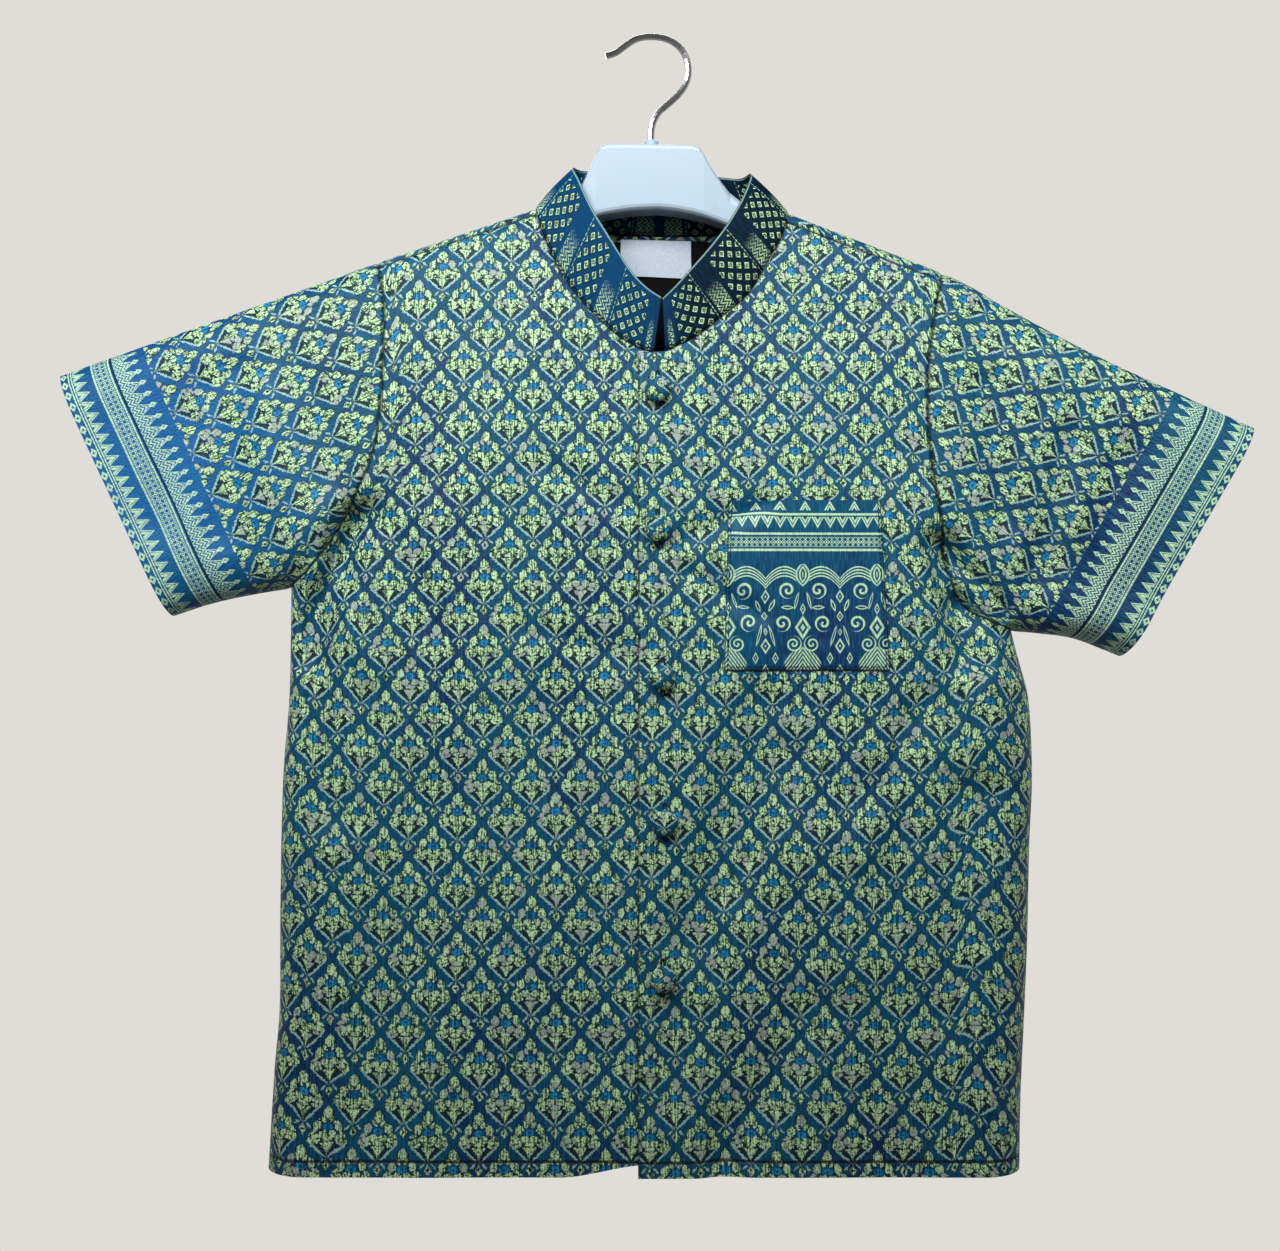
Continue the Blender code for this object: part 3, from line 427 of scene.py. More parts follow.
# %% Helper: edges of the cut pieces
ARM_SHARES = np.concatenate(
    [[0, 0.006, 0.022], np.linspace(0.06, 0.3, 7), np.linspace(0.3, 0.92, 8)[1:], [0.965, 0.992, 1]]
)
FRONT_ARM_STARTS, NECK_CELLS, SIDE_CELLS, HEM_ROWS = 3, 7, 12, 4
ACROSS_FRONT = np.array(
    [0, 0.045, 0.09, 0.16, 0.25, 0.35, 0.45, 0.55, 0.65, 0.74, 0.82, 0.885, 0.93, 0.963, 0.988, 1]
)
FRONT_TIMES, ACROSS_TIMES = 6, 8
BACK_ARMHOLE_BOW = 5.0
SEAM_DIP, SEAM_DIP_WIDTH = 0.9, 1.3
SHOULDER_AT_Z = -140  # only what lies higher is near the shoulder seam
LAP_TOP_Z, LAP_TOP_BLEND = -168.0, 10  # the upper front stands off from here down
EDGE_SHADE = 0.3  # the upper front's free edge is shaded like a place this far from a seam


def armhole(side, face, shares):
    curve = along(ARMHOLE[side], shares)
    if face == "back":
        outwards = -1 if side == "right" else 1
        curve[:, 0] += outwards * BACK_ARMHOLE_BOW * np.sin(math.pi * np.asarray(shares))
    return curve


def seam_start(side):
    """Share of the armhole's length that lies behind the shoulder seam."""
    shares = np.linspace(0, 0.1, 400)
    length, _ = distance(armhole(side, "front", shares), TOP_EDGES[side])
    return float(shares[np.argmax(length > SEAM_FORWARD[side])])


def hem(x, side):
    if side == "left":
        return np.full_like(x, HEM_Z)
    return HEM_Z + HEM_LIFT * smooth((x + LIFT_REACH) / LIFT_REACH)


def lap(points):
    """Points of the front with the upper front's stand-off near the lapped edges."""
    lapped = points.copy()
    over = smooth((LAP_ENDS + LAP_BLEND - points[..., 0]) / LAP_BLEND)
    below_neck = smooth((LAP_TOP_Z - points[..., 2]) / LAP_TOP_BLEND)
    lapped[..., 1] -= LAP_RISE * over * below_neck
    return lapped


def dip(points, outward, reach):
    """The sewn edge drawn in: reach is the distance from it in millimetres."""
    return points - outward * (SEAM_DIP * np.exp(-((reach / SEAM_DIP_WIDTH) ** 2)))[..., None]


def from_edge(points, axis, end):
    """Distance of each point from the grid's first or last row or column, along the grid."""
    step = np.linalg.norm(np.diff(points, axis=axis), axis=-1)
    if end == "first":
        return running(step, axis)
    return np.flip(running(np.flip(step, axis), axis), axis)


# %% [markdown]
# The fronts. Their grids run from the centre edge out to the armhole and the side seam, with close
# rows along the edges, where the cloth bends most.

# %% Fronts
def front_grid(side):
    times = FRONT_TIMES
    arm_shares = finer(np.concatenate([[seam_start(side)], ARM_SHARES[FRONT_ARM_STARTS:]]), times)
    arm = armhole(side, "front", arm_shares)
    seam = along(SIDE_SEAM[side], np.linspace(0, 1, SIDE_CELLS * times + 1)[1:])
    outer_border = np.vstack([arm, seam])
    neck = along(NECKLINE[side], np.linspace(0, 1, NECK_CELLS * times + 1))
    centre_x = UNDERLAP_X if side == "right" else PLACKET_X
    beside = outer_border[NECK_CELLS * times :, 1]
    fading = np.clip((beside - arm[-1, 1]) / (beside[0] - arm[-1, 1]), 0, 1)
    edge_z = (beside + (neck[-1, 1] - beside[0]) * fading)[1:]
    inner_border = np.vstack([neck, np.stack([np.full_like(edge_z, centre_x), edge_z], axis=1)])
    across = finer(ACROSS_FRONT, ACROSS_TIMES)
    grid = mixed(inner_border[:, None], outer_border[:, None], across[None, :, None])
    rising = HEM_ROWS * times
    last = np.linspace(0, 1, rising)[:, None]
    grid[-rising:, :, 1] += (hem(grid[-1:, :, 0], side) - HEM_Z) * last
    return grid


def turned_map(grid, points, toward_side, flower):
    """Where each point lay on the bolt: its x and z, with the cloth's turn in depth added."""
    u = grid[..., 0] + toward_side * running(turn_in_depth(points, 1), 1)
    up = np.flip(running(np.flip(turn_in_depth(points, 0), 0), 0), 0)
    v = grid[..., 1] + up - up[len(up) // 2]
    return repeats(u, v, flower)


def make_front(side):
    grid = front_grid(side)
    points, outward = skin(grid, "front")
    toward_side = -1 if side == "right" else 1
    cloth_map = turned_map(grid, points, toward_side, FLOWER_AT[side])
    side_seam = from_edge(points, 1, "last")
    shoulder = np.where(grid[..., 1] > SHOULDER_AT_Z, from_edge(points, 0, "first"), FAR_FROM_SEAM)
    neck = from_edge(points, 1, "first")
    neck[NECK_CELLS * FRONT_TIMES :] = FAR_FROM_SEAM
    seam = np.minimum(np.minimum(side_seam, shoulder), neck)
    points = dip(points, outward, np.minimum(side_seam, shoulder))
    if side == "left":
        points = lap(points)
        seam = np.minimum(seam, from_edge(points, 1, "first") + EDGE_SHADE)
    return sew("front_" + side, points, outward, cloth_map, seam)


fronts = {side: make_front(side) for side in SIDES}

# %% [markdown]
# The back is one piece with a notch for the neck. Its shoulders come over the ridge, so the seams lie
# a little to the front, as tailors like them.

# %% Back
SHOULDER_SHARES = np.array([0, 0.05, 0.22, 0.42, 0.62, 0.82, 0.95, 1])
BACK_NECK_CELLS, BACK_SIDE_CELLS = 10, 10
TURNS_FROM, NOTCH_ENDS = 0.15, 0.3  # shares of the back's height below the neck
EDGE_SHARES = np.array([0, 0.012, 0.04, 0.085, 0.14])
BACK_TIMES, STRIP_CELLS = 5, 2


def forward_of_ridge(side):
    """The direction from the shoulder's ridge toward its seam, seen from the front."""
    slope = np.subtract(SHOULDER_LINE[side][1], SHOULDER_LINE[side][0])
    square = np.array([slope[1], -slope[0]]) / np.linalg.norm(slope)
    return square if square[1] < 0 else -square


def back_grid():
    """The back below its shoulders, seen flat, and its top row from armhole to armhole."""
    shoulder_shares = finer(SHOULDER_SHARES, BACK_TIMES)[:, None]
    ridge = {
        side: mixed(np.array(ARMHOLE[side][0]), np.array(SHOULDER_LINE[side][0]), shoulder_shares)
        for side in SIDES
    }
    neckline = along(BACK_NECKLINE, np.linspace(0, 1, BACK_NECK_CELLS * BACK_TIMES + 1))
    top = np.vstack([ridge["right"], neckline[1:-1], ridge["left"][::-1]])
    arm_shares = finer(ARM_SHARES, BACK_TIMES)
    below = np.linspace(0, 1, BACK_SIDE_CELLS * BACK_TIMES + 1)[1:]
    right, left = (
        np.vstack([armhole(side, "back", arm_shares), along(SIDE_SEAM[side], below)]) for side in SIDES
    )
    down = (right[:, 1] - top[0, 1]) / (HEM_Z - top[0, 1])
    top_share = (top[:, 0] - top[0, 0]) / (top[-1, 0] - top[0, 0])
    edge_shares = finer(EDGE_SHARES, BACK_TIMES)
    inner = edge_shares[-1] + 0.01
    middle_shares = np.linspace(inner, 1 - inner, len(top) - 2 * len(edge_shares))
    low_share = np.concatenate([edge_shares, middle_shares, 1 - edge_shares[::-1]])
    share = mixed(top_share, low_share, smooth((down - TURNS_FROM) / NOTCH_ENDS)[:, None])[..., None]
    grid = mixed(right[:, None], left[:, None], share)
    grid[..., 1] += (top[:, 1] - grid[0, :, 1]) * smooth(1 - down / NOTCH_ENDS)[:, None]
    return grid, top


def shoulder_strips(top):
    """The rows that come forward over the ridge, from the seam to the top row."""
    shares = np.linspace(1, 0, STRIP_CELLS * BACK_TIMES + 1)[:-1]
    strip = np.zeros((len(shares), len(top), 2))
    for j, place in enumerate(top):
        side = "right" if j < len(top) / 2 else "left"
        strip[:, j] = place + forward_of_ridge(side) * SEAM_FORWARD[side] * shares[:, None]
    return strip


def make_back():
    grid, top = back_grid()
    strip = shoulder_strips(top)
    halves = skin(strip, "front"), skin(grid, "back")
    points, outward = (np.concatenate(pair) for pair in zip(*halves))
    flat = np.concatenate([strip, grid])
    across = running(turn_in_depth(points, 1), 1)
    u = flat[..., 0] + across - across[:, [len(top) // 2]]
    v_down = running(np.linalg.norm(np.diff(points, axis=0)[..., 1:], axis=-1), 0)
    v = flat[len(strip), :, 1] - (v_down - v_down[len(strip)])
    cloth_map = repeats(u, v, FLOWER_AT["back"])
    sides = np.minimum(from_edge(points, 1, "last"), from_edge(points, 1, "first"))
    seam = np.minimum(sides, from_edge(points, 0, "first"))
    cells = np.ones((len(points) - 1, len(top) - 1), bool)
    shoulder = len(finer(SHOULDER_SHARES, BACK_TIMES))
    cells[: len(strip), shoulder - 1 : len(top) - shoulder] = False
    return sew("back", dip(points, outward, seam), outward, cloth_map, seam, cells=cells)


back_piece = make_back()

# %% [markdown]
# A sleeve is cut flat and closed by a seam under the arm. Its map is measured from the cuff's edge up
# and along the cuff, because the border must run parallel to the cuff.

# %% Sleeves
SLEEVE_ROWS, SLEEVE_TIMES = 72, 4
MAP_UNIT = 0.01  # the map counts in tenths of a metre


def make_sleeve(side):
    lengths = np.linspace(0, 1, SLEEVE_ROWS)
    fine = np.linspace(0, 1, 2001)
    tip = np.array(ARMHOLE[side][0])
    tip_share = fine[np.argmin(np.linalg.norm(along(SHOULDER_LINE[side], fine) - tip, axis=1))]
    arm_shares = finer(ARM_SHARES, SLEEVE_TIMES)
    top = along(SHOULDER_LINE[side], mixed(tip_share, 1, lengths))
    low = along(SLEEVE_UNDER[side], lengths)
    cuff = mixed(top[-1], low[-1], arm_shares[:, None])
    t, w = lengths[:, None, None], arm_shares[None, :, None]
    cuff_way = (top[-1] - low[-1]) / np.linalg.norm(top[-1] - low[-1])
    up_way = np.array([cuff_way[1], -cuff_way[0]])
    up_way *= np.sign((top[0] + low[0] - top[-1] - low[-1]) @ up_way)
    grids, halves = {}, {}
    for face in ("front", "back"):
        seam = armhole(side, face, arm_shares)
        corners = mixed(mixed(seam[0], seam[-1], w), mixed(cuff[0], cuff[-1], w), t)
        along_seams, along_folds = mixed(seam[None], cuff[None], t), mixed(top[:, None], low[:, None], w)
        grids[face] = along_seams + along_folds - corners
        halves[face] = skin(grids[face], face)
    grid = np.concatenate([grids["front"][:, ::-1], grids["back"][:, 1:]], axis=1)
    points = np.concatenate([halves["front"][0][:, ::-1], halves["back"][0][:, 1:]], axis=1)
    outward = np.concatenate([halves["front"][1][:, ::-1], halves["back"][1][:, 1:]], axis=1)
    up = (grid - cuff[0]) @ up_way
    place = (grid - low[-1]) @ cuff_way
    step = np.hypot(np.diff(place, axis=1), np.diff(points[..., 1], axis=1))
    round_map = running(step, 1)
    centre = len(arm_shares) // 2
    round_map += (place - round_map)[:, [centre]]
    cloth_map = np.stack([round_map, up], axis=-1) * MAP_UNIT
    seam = from_edge(points, 0, "first")
    points = dip(points, outward, seam)
    return sew("sleeve_" + side, points, outward, cloth_map, seam)


sleeves = {side: make_sleeve(side) for side in SIDES}

# %% [markdown]
# The stand collar is a narrow band, sewn to the neckline and leaning in. It is stiffened, so it keeps
# one smooth bend. Inside and outside are the same cloth.

# %% Collar
COLLAR_ROWS = [  # seam x, seam z, edge x, edge y, edge z
    (2.4, -178.2, 6.7, -18.4, -147.3), (-9.4, -173.8, -1.6, -18.2, -141.5),
    (-20.4, -166.1, -10.4, -18.0, -132.0), (-36.9, -149.9, -21.6, -17.0, -114.0),
    (-49.0, -132.8, -32.0, -15.0, -96.5), (-58.0, -113.0, -38.8, -11.8, -81.0),
    (-63.8, -95.2, -42.4, 0.0, -71.5), (-50.0, -101.5, -37.0, 11.8, -70.2),
    (-25.0, -106.0, -18.0, 14.0, -70.0), (7.0, -107.5, 7.0, 14.4, -70.8),
    (38.0, -107.0, 32.0, 14.0, -72.6), (64.0, -104.0, 51.0, 11.8, -74.6),
    (78.5, -97.9, 57.0, 0.0, -75.0), (73.0, -114.0, 52.2, -11.8, -90.0),
    (64.7, -128.2, 44.2, -15.0, -104.6), (54.8, -145.2, 34.0, -17.0, -118.5),
    (41.1, -157.3, 22.4, -18.0, -132.0), (26.8, -168.8, 14.4, -18.2, -141.0),
    (8.9, -177.4, 7.4, -18.4, -148.0),
]
RIGHT_RIDGE, LEFT_RIDGE = 6, 12  # the rows above, counted from 0, that stand on the shoulders
COLLAR_HIGH, COLLAR_BULGE = 34.0, 1.0
COLLAR_ALONG, COLLAR_UP = 261, 25
COLLAR_DIP, COLLAR_DIP_WIDTH = 0.9, 1.4


def make_collar():
    rows = along(COLLAR_ROWS, np.linspace(0, 1, COLLAR_ALONG))
    ridge_right = np.argmin(np.linalg.norm(rows[:, :2] - COLLAR_ROWS[RIGHT_RIDGE][:2], axis=1))
    ridge_left = np.argmin(np.linalg.norm(rows[:, :2] - COLLAR_ROWS[LEFT_RIDGE][:2], axis=1))
    front_seam, back_seam = (skin(rows[:, :2], face)[0] for face in ("front", "back"))
    behind = (np.arange(len(rows)) > ridge_right) & (np.arange(len(rows)) < ridge_left)
    seam = np.where(behind[:, None], back_seam, front_seam)
    seam[ridge_left:] = lap(seam[ridge_left:])
    edge = rows[:, 2:]
    rise = (edge - seam) / np.linalg.norm(edge - seam, axis=1)[:, None]
    heights = np.linspace(0, 1, COLLAR_UP)[:, None, None]
    points = mixed(seam[None], edge[None], heights)
    outward = np.cross(np.gradient(points, axis=1), rise[None])
    outward /= np.linalg.norm(outward, axis=2)[..., None]
    outward *= np.sign(((points - points.mean(axis=(0, 1))) * outward).sum())
    points = points + outward * (COLLAR_BULGE * np.sin(math.pi * heights))
    height = from_edge(points, 0, "first")
    points = points - outward * (COLLAR_DIP * np.exp(-((height / COLLAR_DIP_WIDTH) ** 2)))[..., None]
    length = from_edge(points, 1, "first")[COLLAR_UP // 2]
    from_front = np.broadcast_to(np.minimum(length, length[-1] - length), height.shape)
    band = heights[..., 0] * COLLAR_HIGH * np.ones_like(height)
    cloth_map = np.stack([from_front, band], axis=-1) * MAP_UNIT
    return sew("collar", points, outward, cloth_map, height, thickness=1.6)


collar_piece = make_collar()

# %% [markdown]
# The patch pocket lies on the left front, with its edges pressed under, and the lining and the label
# show inside the neck.

# %% Pocket, lining and label
POCKET = {"top": (43.5, 126.4, -259.5), "bottom": (40.8, 131.3, -352.5)}
POCKET_MIDDLE, POCKET_WIDE, POCKET_HIGH = 85.0, 90, 93
POCKET_STEPS, LINING_STEPS, LABEL_STEPS = (92, 94), (50, 50), (40, 24)  # points across and down
POCKET_OFF = 0.5  # the pressed edge's stand-off from the front
POCKET_RISES = [(1.1, 1.6), (0.5, 12)]  # how much higher, and how far from the edge that is reached
LINING = {"middle": 7.0, "top": -109.5, "bottom": -330.0, "rise": 5.0}
LINING_HALVES = 52.0, 120.0
LABEL = {"left": -15.8, "right": 23.8, "top": -109.5, "bottom": -131.0}
LABEL_WAVE, BEHIND_LINING = 0.4, 1.0


def make_pocket():
    across, down = (np.linspace(0, 1, steps) for steps in POCKET_STEPS)
    across, down = across[None, :, None], down[:, None, None]
    edges = []
    for left, right, z in POCKET.values():
        edges.append(mixed(np.array((left, z)), np.array((right, z)), across))
    grid = mixed(*edges, down)
    points, outward = skin(grid, "front")
    sides = np.minimum(across[..., 0], 1 - across[..., 0]) * POCKET_WIDE
    near = np.minimum(sides, (1 - down[..., 0]) * POCKET_HIGH)
    rise = POCKET_OFF + sum(height * smooth(near / reach) for height, reach in POCKET_RISES)
    points = points + outward * rise[..., None]
    cloth_map = (grid - (POCKET_MIDDLE, POCKET["top"][2])) * MAP_UNIT
    return sew("pocket", points, outward, cloth_map, near, thickness=1.0)


def make_lining():
    across, down = np.linspace(-1, 1, LINING_STEPS[0])[None, :], np.linspace(0, 1, LINING_STEPS[1])[:, None]
    x = LINING["middle"] + mixed(*LINING_HALVES, smooth(down * 2)) * across
    z = mixed(LINING["top"], LINING["bottom"], down) - LINING["rise"] * across**2 * (1 - down)
    grid = np.stack([x, z * np.ones_like(x)], axis=2)
    points, outward = skin(grid, "back")
    points = points - outward * (WALL + CURVED_GAP)
    return sew("back_lining", points, outward, grid * MAP_UNIT, thickness=0.8)


def make_label():
    across, down = np.linspace(0, 1, LABEL_STEPS[0])[None, :], np.linspace(0, 1, LABEL_STEPS[1])[:, None]
    x = mixed(LABEL["left"], LABEL["right"], across) * np.ones_like(down)
    z = mixed(LABEL["top"], LABEL["bottom"], down) - across
    grid = np.stack([x, z], axis=2)
    points, outward = skin(grid, "back")
    wave = LABEL_WAVE * np.sin(across * 5 + 1) * down
    points = points - outward * (WALL + BEHIND_LINING + CURVED_GAP + GAP + wave)[..., None]
    return sew("neck_label", points, outward, grid * MAP_UNIT, thickness=0.5)


pocket_piece, lining_piece, label_piece = make_pocket(), make_lining(), make_label()

# %% [markdown]
# The buttons are domes covered in scraps of the same cloth. One is modelled from a sphere whose
# underside is cut flat and drawn in to a shank, and the others are its copies, each turned a little.

# %% Buttons
BUTTONS = [(4.7, -199.0), (4.7, -275.0), (7.4, -355.8), (8.5, -435.0), (7.4, -520.0)]
BUTTON_RADIUS, BUTTON_HEIGHT = 7.2, 7.6
BUTTON_FLAT, SHANK_DEPTH = -0.55, 0.25
GATHERS, GATHER_DEPTH = 9, 0.02  # how the scrap is drawn in round a button
SCRAP_REPEAT, SCRAP_START, SCRAP_STEP = 24, (0, -0.05), (0.13, 0.31)  # where each scrap was cut
HOLE_LONG, HOLE_WIDE, THREAD_RADIUS = 10.4, 0.9, 0.55


def seat_of(x, z):
    """A point on the upper front, with the ways across, up and out of the cloth there."""
    seat, outward = skin([(x, z)], "front")
    axis = outward[0]
    side_way = np.cross((0, 0, 1.0), axis)
    side_way /= np.linalg.norm(side_way)
    return lap(seat)[0], side_way, np.cross(axis, side_way), axis


def settle(model, name, points):
    """A copy of a model with its own mesh, moved to points in millimetres."""
    mesh = model.data.copy()
    piece = bpy.data.objects.new(name, mesh)
    bpy.context.scene.collection.objects.link(piece)
    mesh.name = name
    mesh.vertices.foreach_set("co", (points * MM).ravel())
    mesh.update()
    finish(piece, BUTTON_ANGLE)
    return piece


def button_model():
    bpy.ops.object.select_all(action="DESELECT")
    bpy.ops.mesh.primitive_uv_sphere_add(segments=44, ring_count=24, radius=1)
    bpy.ops.object.mode_set(mode="EDIT")
    bpy.ops.mesh.select_all(action="SELECT")
    bpy.ops.mesh.bisect(plane_co=(0, 0, BUTTON_FLAT), plane_no=(0, 0, 1), use_fill=True, clear_inner=True)
    bpy.ops.mesh.inset(thickness=0.5)
    bpy.ops.mesh.extrude_region_move(TRANSFORM_OT_translate={"value": (0, 0, -SHANK_DEPTH)})
    bpy.ops.object.mode_set(mode="OBJECT")
    return bpy.context.object


def make_buttons():
    model = button_model()
    unit = np.array([vertex.co for vertex in model.data.vertices])
    lowest = unit[:, 2].min()
    made = []
    for count, (x, z) in enumerate(BUTTONS, start=1):
        seat, side_way, up_way, axis = seat_of(x, z)
        turn = np.arctan2(unit[:, 1], unit[:, 0])
        wide = BUTTON_RADIUS * (1 + GATHER_DEPTH * np.cos(turn * GATHERS + count))
        height = (unit[:, 2] - lowest) / (1 - lowest) * BUTTON_HEIGHT + GAP
        points = seat + np.outer(unit[:, 0] * wide, side_way) + np.outer(unit[:, 1] * wide, up_way)
        piece = settle(model, f"button_{count}_cloth", points + np.outer(height, axis))
        scrap = unit[:, :2] * BUTTON_RADIUS / SCRAP_REPEAT + SCRAP_START + np.multiply(SCRAP_STEP, count)
        # this seam distance darkens each button's lower rim and underside in the cloth: painted shade under
        # the dome
        set_marks(piece.data, scrap, (unit[:, 2] + 0.5) * 6)
        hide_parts(f"button_{count}")
        made.append(piece)
    bpy.data.objects.remove(model)
    return made


buttons = make_buttons()
print(len(buttons), "covered buttons")

# %% [markdown]
# Each button passes through an upright buttonhole, a long ring of close dark stitches. It starts as a
# torus, whose two halves are drawn apart.

# %% Buttonholes
def make_buttonholes():
    bpy.ops.object.select_all(action="DESELECT")
    bpy.ops.mesh.primitive_torus_add(major_segments=36, minor_segments=8, major_radius=1, minor_radius=0.5)
    model = bpy.context.object
    unit = np.array([vertex.co for vertex in model.data.vertices])
    turn = np.arctan2(unit[:, 1], unit[:, 0])
    tube = np.hypot(unit[:, 0], unit[:, 1]) - 1
    reach = HOLE_WIDE + tube / 0.5 * THREAD_RADIUS
    made = []
    for count, (x, z) in enumerate(BUTTONS, start=1):
        seat, side_way, up_way, axis = seat_of(x, z)
        straight = np.sign(np.round(unit[:, 1], 4)) * (HOLE_LONG - HOLE_WIDE)
        points = seat + np.outer(np.cos(turn) * reach, side_way)
        points = points + np.outer(np.sin(turn) * reach + straight, up_way)
        points = points + np.outer(unit[:, 2] / 0.5 * THREAD_RADIUS + 0.15, axis)
        made.append(settle(model, f"buttonhole_{count}", points))
    bpy.data.objects.remove(model)
    return made


buttonholes = make_buttonholes()
print(len(buttonholes), "buttonholes")

# %% [markdown]
# Shader sums are written as plain expressions. This small class wraps a socket, so that a + b adds a
# Math node. One method makes any other node.

# %% Helper: sockets as numbers
class Wire:
    """A shader socket that sums can be written on."""

    def __init__(self, tree, socket):
        self.tree, self.socket = tree, socket

    def node(self, kind, settings=None, inputs=None, output=0):
        made = self.tree.nodes.new(kind)
        for key, value in (settings or {}).items():
            setattr(made, key, value)
        for key, value in (inputs or {}).items():
            if isinstance(value, Wire):
                self.tree.links.new(value.socket, made.inputs[key])
            else:
                made.inputs[key].default_value = value
        return Wire(self.tree, made.outputs[output])

    def math(self, operation, *others, clamp=False):
        inputs = dict(enumerate([self, *others]))
        return self.node("ShaderNodeMath", {"operation": operation, "use_clamp": clamp}, inputs)

    def __add__(self, other):
        return self.math("ADD", other)

    __radd__ = __add__

    def __sub__(self, other):
        return self.math("SUBTRACT", other)

    def __rsub__(self, other):
        return self.node("ShaderNodeMath", {"operation": "SUBTRACT"}, {0: other, 1: self})

    def __mul__(self, other):
        return self.math("MULTIPLY", other)

    __rmul__ = __mul__

    def __truediv__(self, other):
        return self.math("DIVIDE", other)

    def __rtruediv__(self, other):
        return self.node("ShaderNodeMath", {"operation": "DIVIDE"}, {0: other, 1: self})

    def __abs__(self):
        return self.math("ABSOLUTE")

    def above(self, edge, width):
        """0 below the edge, 1 above it, over a soft width."""
        return self.math("MULTIPLY_ADD", 1 / width, 0.5 - edge / width, clamp=True)

    def below(self, edge, width):
        return self.math("MULTIPLY_ADD", -1 / width, 0.5 + edge / width, clamp=True)

    def within(self, low, high, width):
        return abs(self - (low + high) / 2).below((high - low) / 2, width)

    def wrapped(self, size):
        """The distance past the nearest whole number of sizes, from -size/2 to size/2."""
        return (self / size + 0.5).math("FRACT").math("MULTIPLY_ADD", size, -size / 2)

    def pair(self):
        """The first two numbers of a vector."""
        parts = self.node("ShaderNodeSeparateXYZ", None, {0: self}).socket.node
        return Wire(self.tree, parts.outputs[0]), Wire(self.tree, parts.outputs[1])

    def most(self, other):
        return self.math("MAXIMUM", other)

    def least(self, other):
        return self.math("MINIMUM", other)


# %% [markdown]
# A colour is picked on a screen, but Blender counts light in even steps, so it is converted. Noise and
# mixed colours are used in every cloth, and each gets a helper.

# %% Helper: colours, noise and new materials
def colour_of(red, green, blue):
    """A colour picked on a screen, 0 to 255, as Blender's linear colour."""
    shares = [part / 255 for part in (red, green, blue)]
    return (*(s / 12.92 if s < 0.04 else ((s + 0.055) / 1.055) ** 2.4 for s in shares), 1.0)


def noise(place, scale=1.0, detail=1.0, flat=False, output=0):
    """A smooth noise over a place, or only over its first two numbers."""
    inputs = {"Vector": place, "Scale": scale, "Detail": detail}
    return place.node("ShaderNodeTexNoise", {"noise_dimensions": "2D" if flat else "3D"}, inputs, output)


def blend(share, first, second):
    """A colour mixed from two."""
    inputs = {0: share, 6: first, 7: second}
    return share.node("ShaderNodeMix", {"data_type": "RGBA"}, inputs, output=2)


def new_material(name):
    made = bpy.data.materials.new(name)
    made.use_nodes = True
    tree = made.node_tree
    shader = tree.nodes["Principled BSDF"]
    return made, tree, shader, tree.nodes.new("ShaderNodeTexCoord")


# %% [markdown]
# The brocade. Its repeat is a flower in a pointed frame, set in a half-drop: every second column is
# half a repeat lower. Petals are ovals and pointed leaves. The nearest one gives the colour, and where
# two are equally near runs the dark line between them, because such cloth is woven with pale floats
# between darker outlines. A fine noise shifts the outlines in small steps, as the weave does.

# %% Brocade: one flower
FLOWER_WIDE, FLOWER_HIGH = 27.9, 38.2  # the repeat that the shapes below are drawn for
FLOWER_MIDDLE = -0.15
SHARP = 0.0001  # the width of a hard step
OVALS = [  # centre x, y, half width, half height, turn in degrees
    (2.7, -3.3, 2.4, 1.9, 8), (6.9, -4.3, 2.2, 1.6, -14), (9.7, -5.5, 1.4, 1.6, 0),
    (0.0, -5.9, 2.9, 1.2, 0), (6.2, -6.7, 2.2, 0.9, -24),
]
LEAVES = [
    (0.0, 7.7, 2.7, 3.5, 0), (2.3, 4.2, 1.1, 2.1, -28),
    (5.8, 1.5, 2.2, 3.3, 18), (8.0, -1.8, 1.0, 3.0, 64),
]
FRAME_LINES = [(4.8, -11.4, 0.62, 6.2, -48), (9.1, -7.4, 0.62, 1.7, -28), (3.2, -17.1, 0.55, 2.0, 46)]
HEART = (0.0, 0.1, 3.1, 1.9, 0)
CUP_TOP, CUP_FOOT, CUP_HALF = -7.5, -13.9, 4.0
SEED_Y, SEED_HALF, SEED_HIGH = -19.1, 2.2, 3.1
SHAKE, SHAKE_SCALE = 1.9, 0.85  # how far the weave's steps shift an outline, and how fine they are
BOWL_FOOT, BOWL_TOP, BOWL_SLOPE = -14.8, -6.0, 1.1


def placed(place, row):
    x, y, wide, high, turn = row
    inputs = {"Vector": place, "Location": (x, y, 0), "Scale": (wide, high, 1)}
    inputs["Rotation"] = (0, 0, math.radians(turn))
    return place.node("ShaderNodeMapping", {"vector_type": "TEXTURE"}, inputs)


def oval(place, row):
    """How far out in an oval a place is: 0 at its centre, 1 on its rim."""
    return place.node("ShaderNodeVectorMath", {"operation": "LENGTH"}, {0: placed(place, row)}, output=1)


def leaf(place, row):
    """The same for a leaf with two points."""
    across, along_it = placed(place, row).pair()
    return along_it.math("MULTIPLY_ADD", along_it, abs(across))


def two_nearest(shapes):
    nearest, second = shapes[0].least(shapes[1]), shapes[0].most(shapes[1])
    for shape in shapes[2:]:
        second = second.least(nearest.most(shape))
        nearest = nearest.least(shape)
    return nearest, second


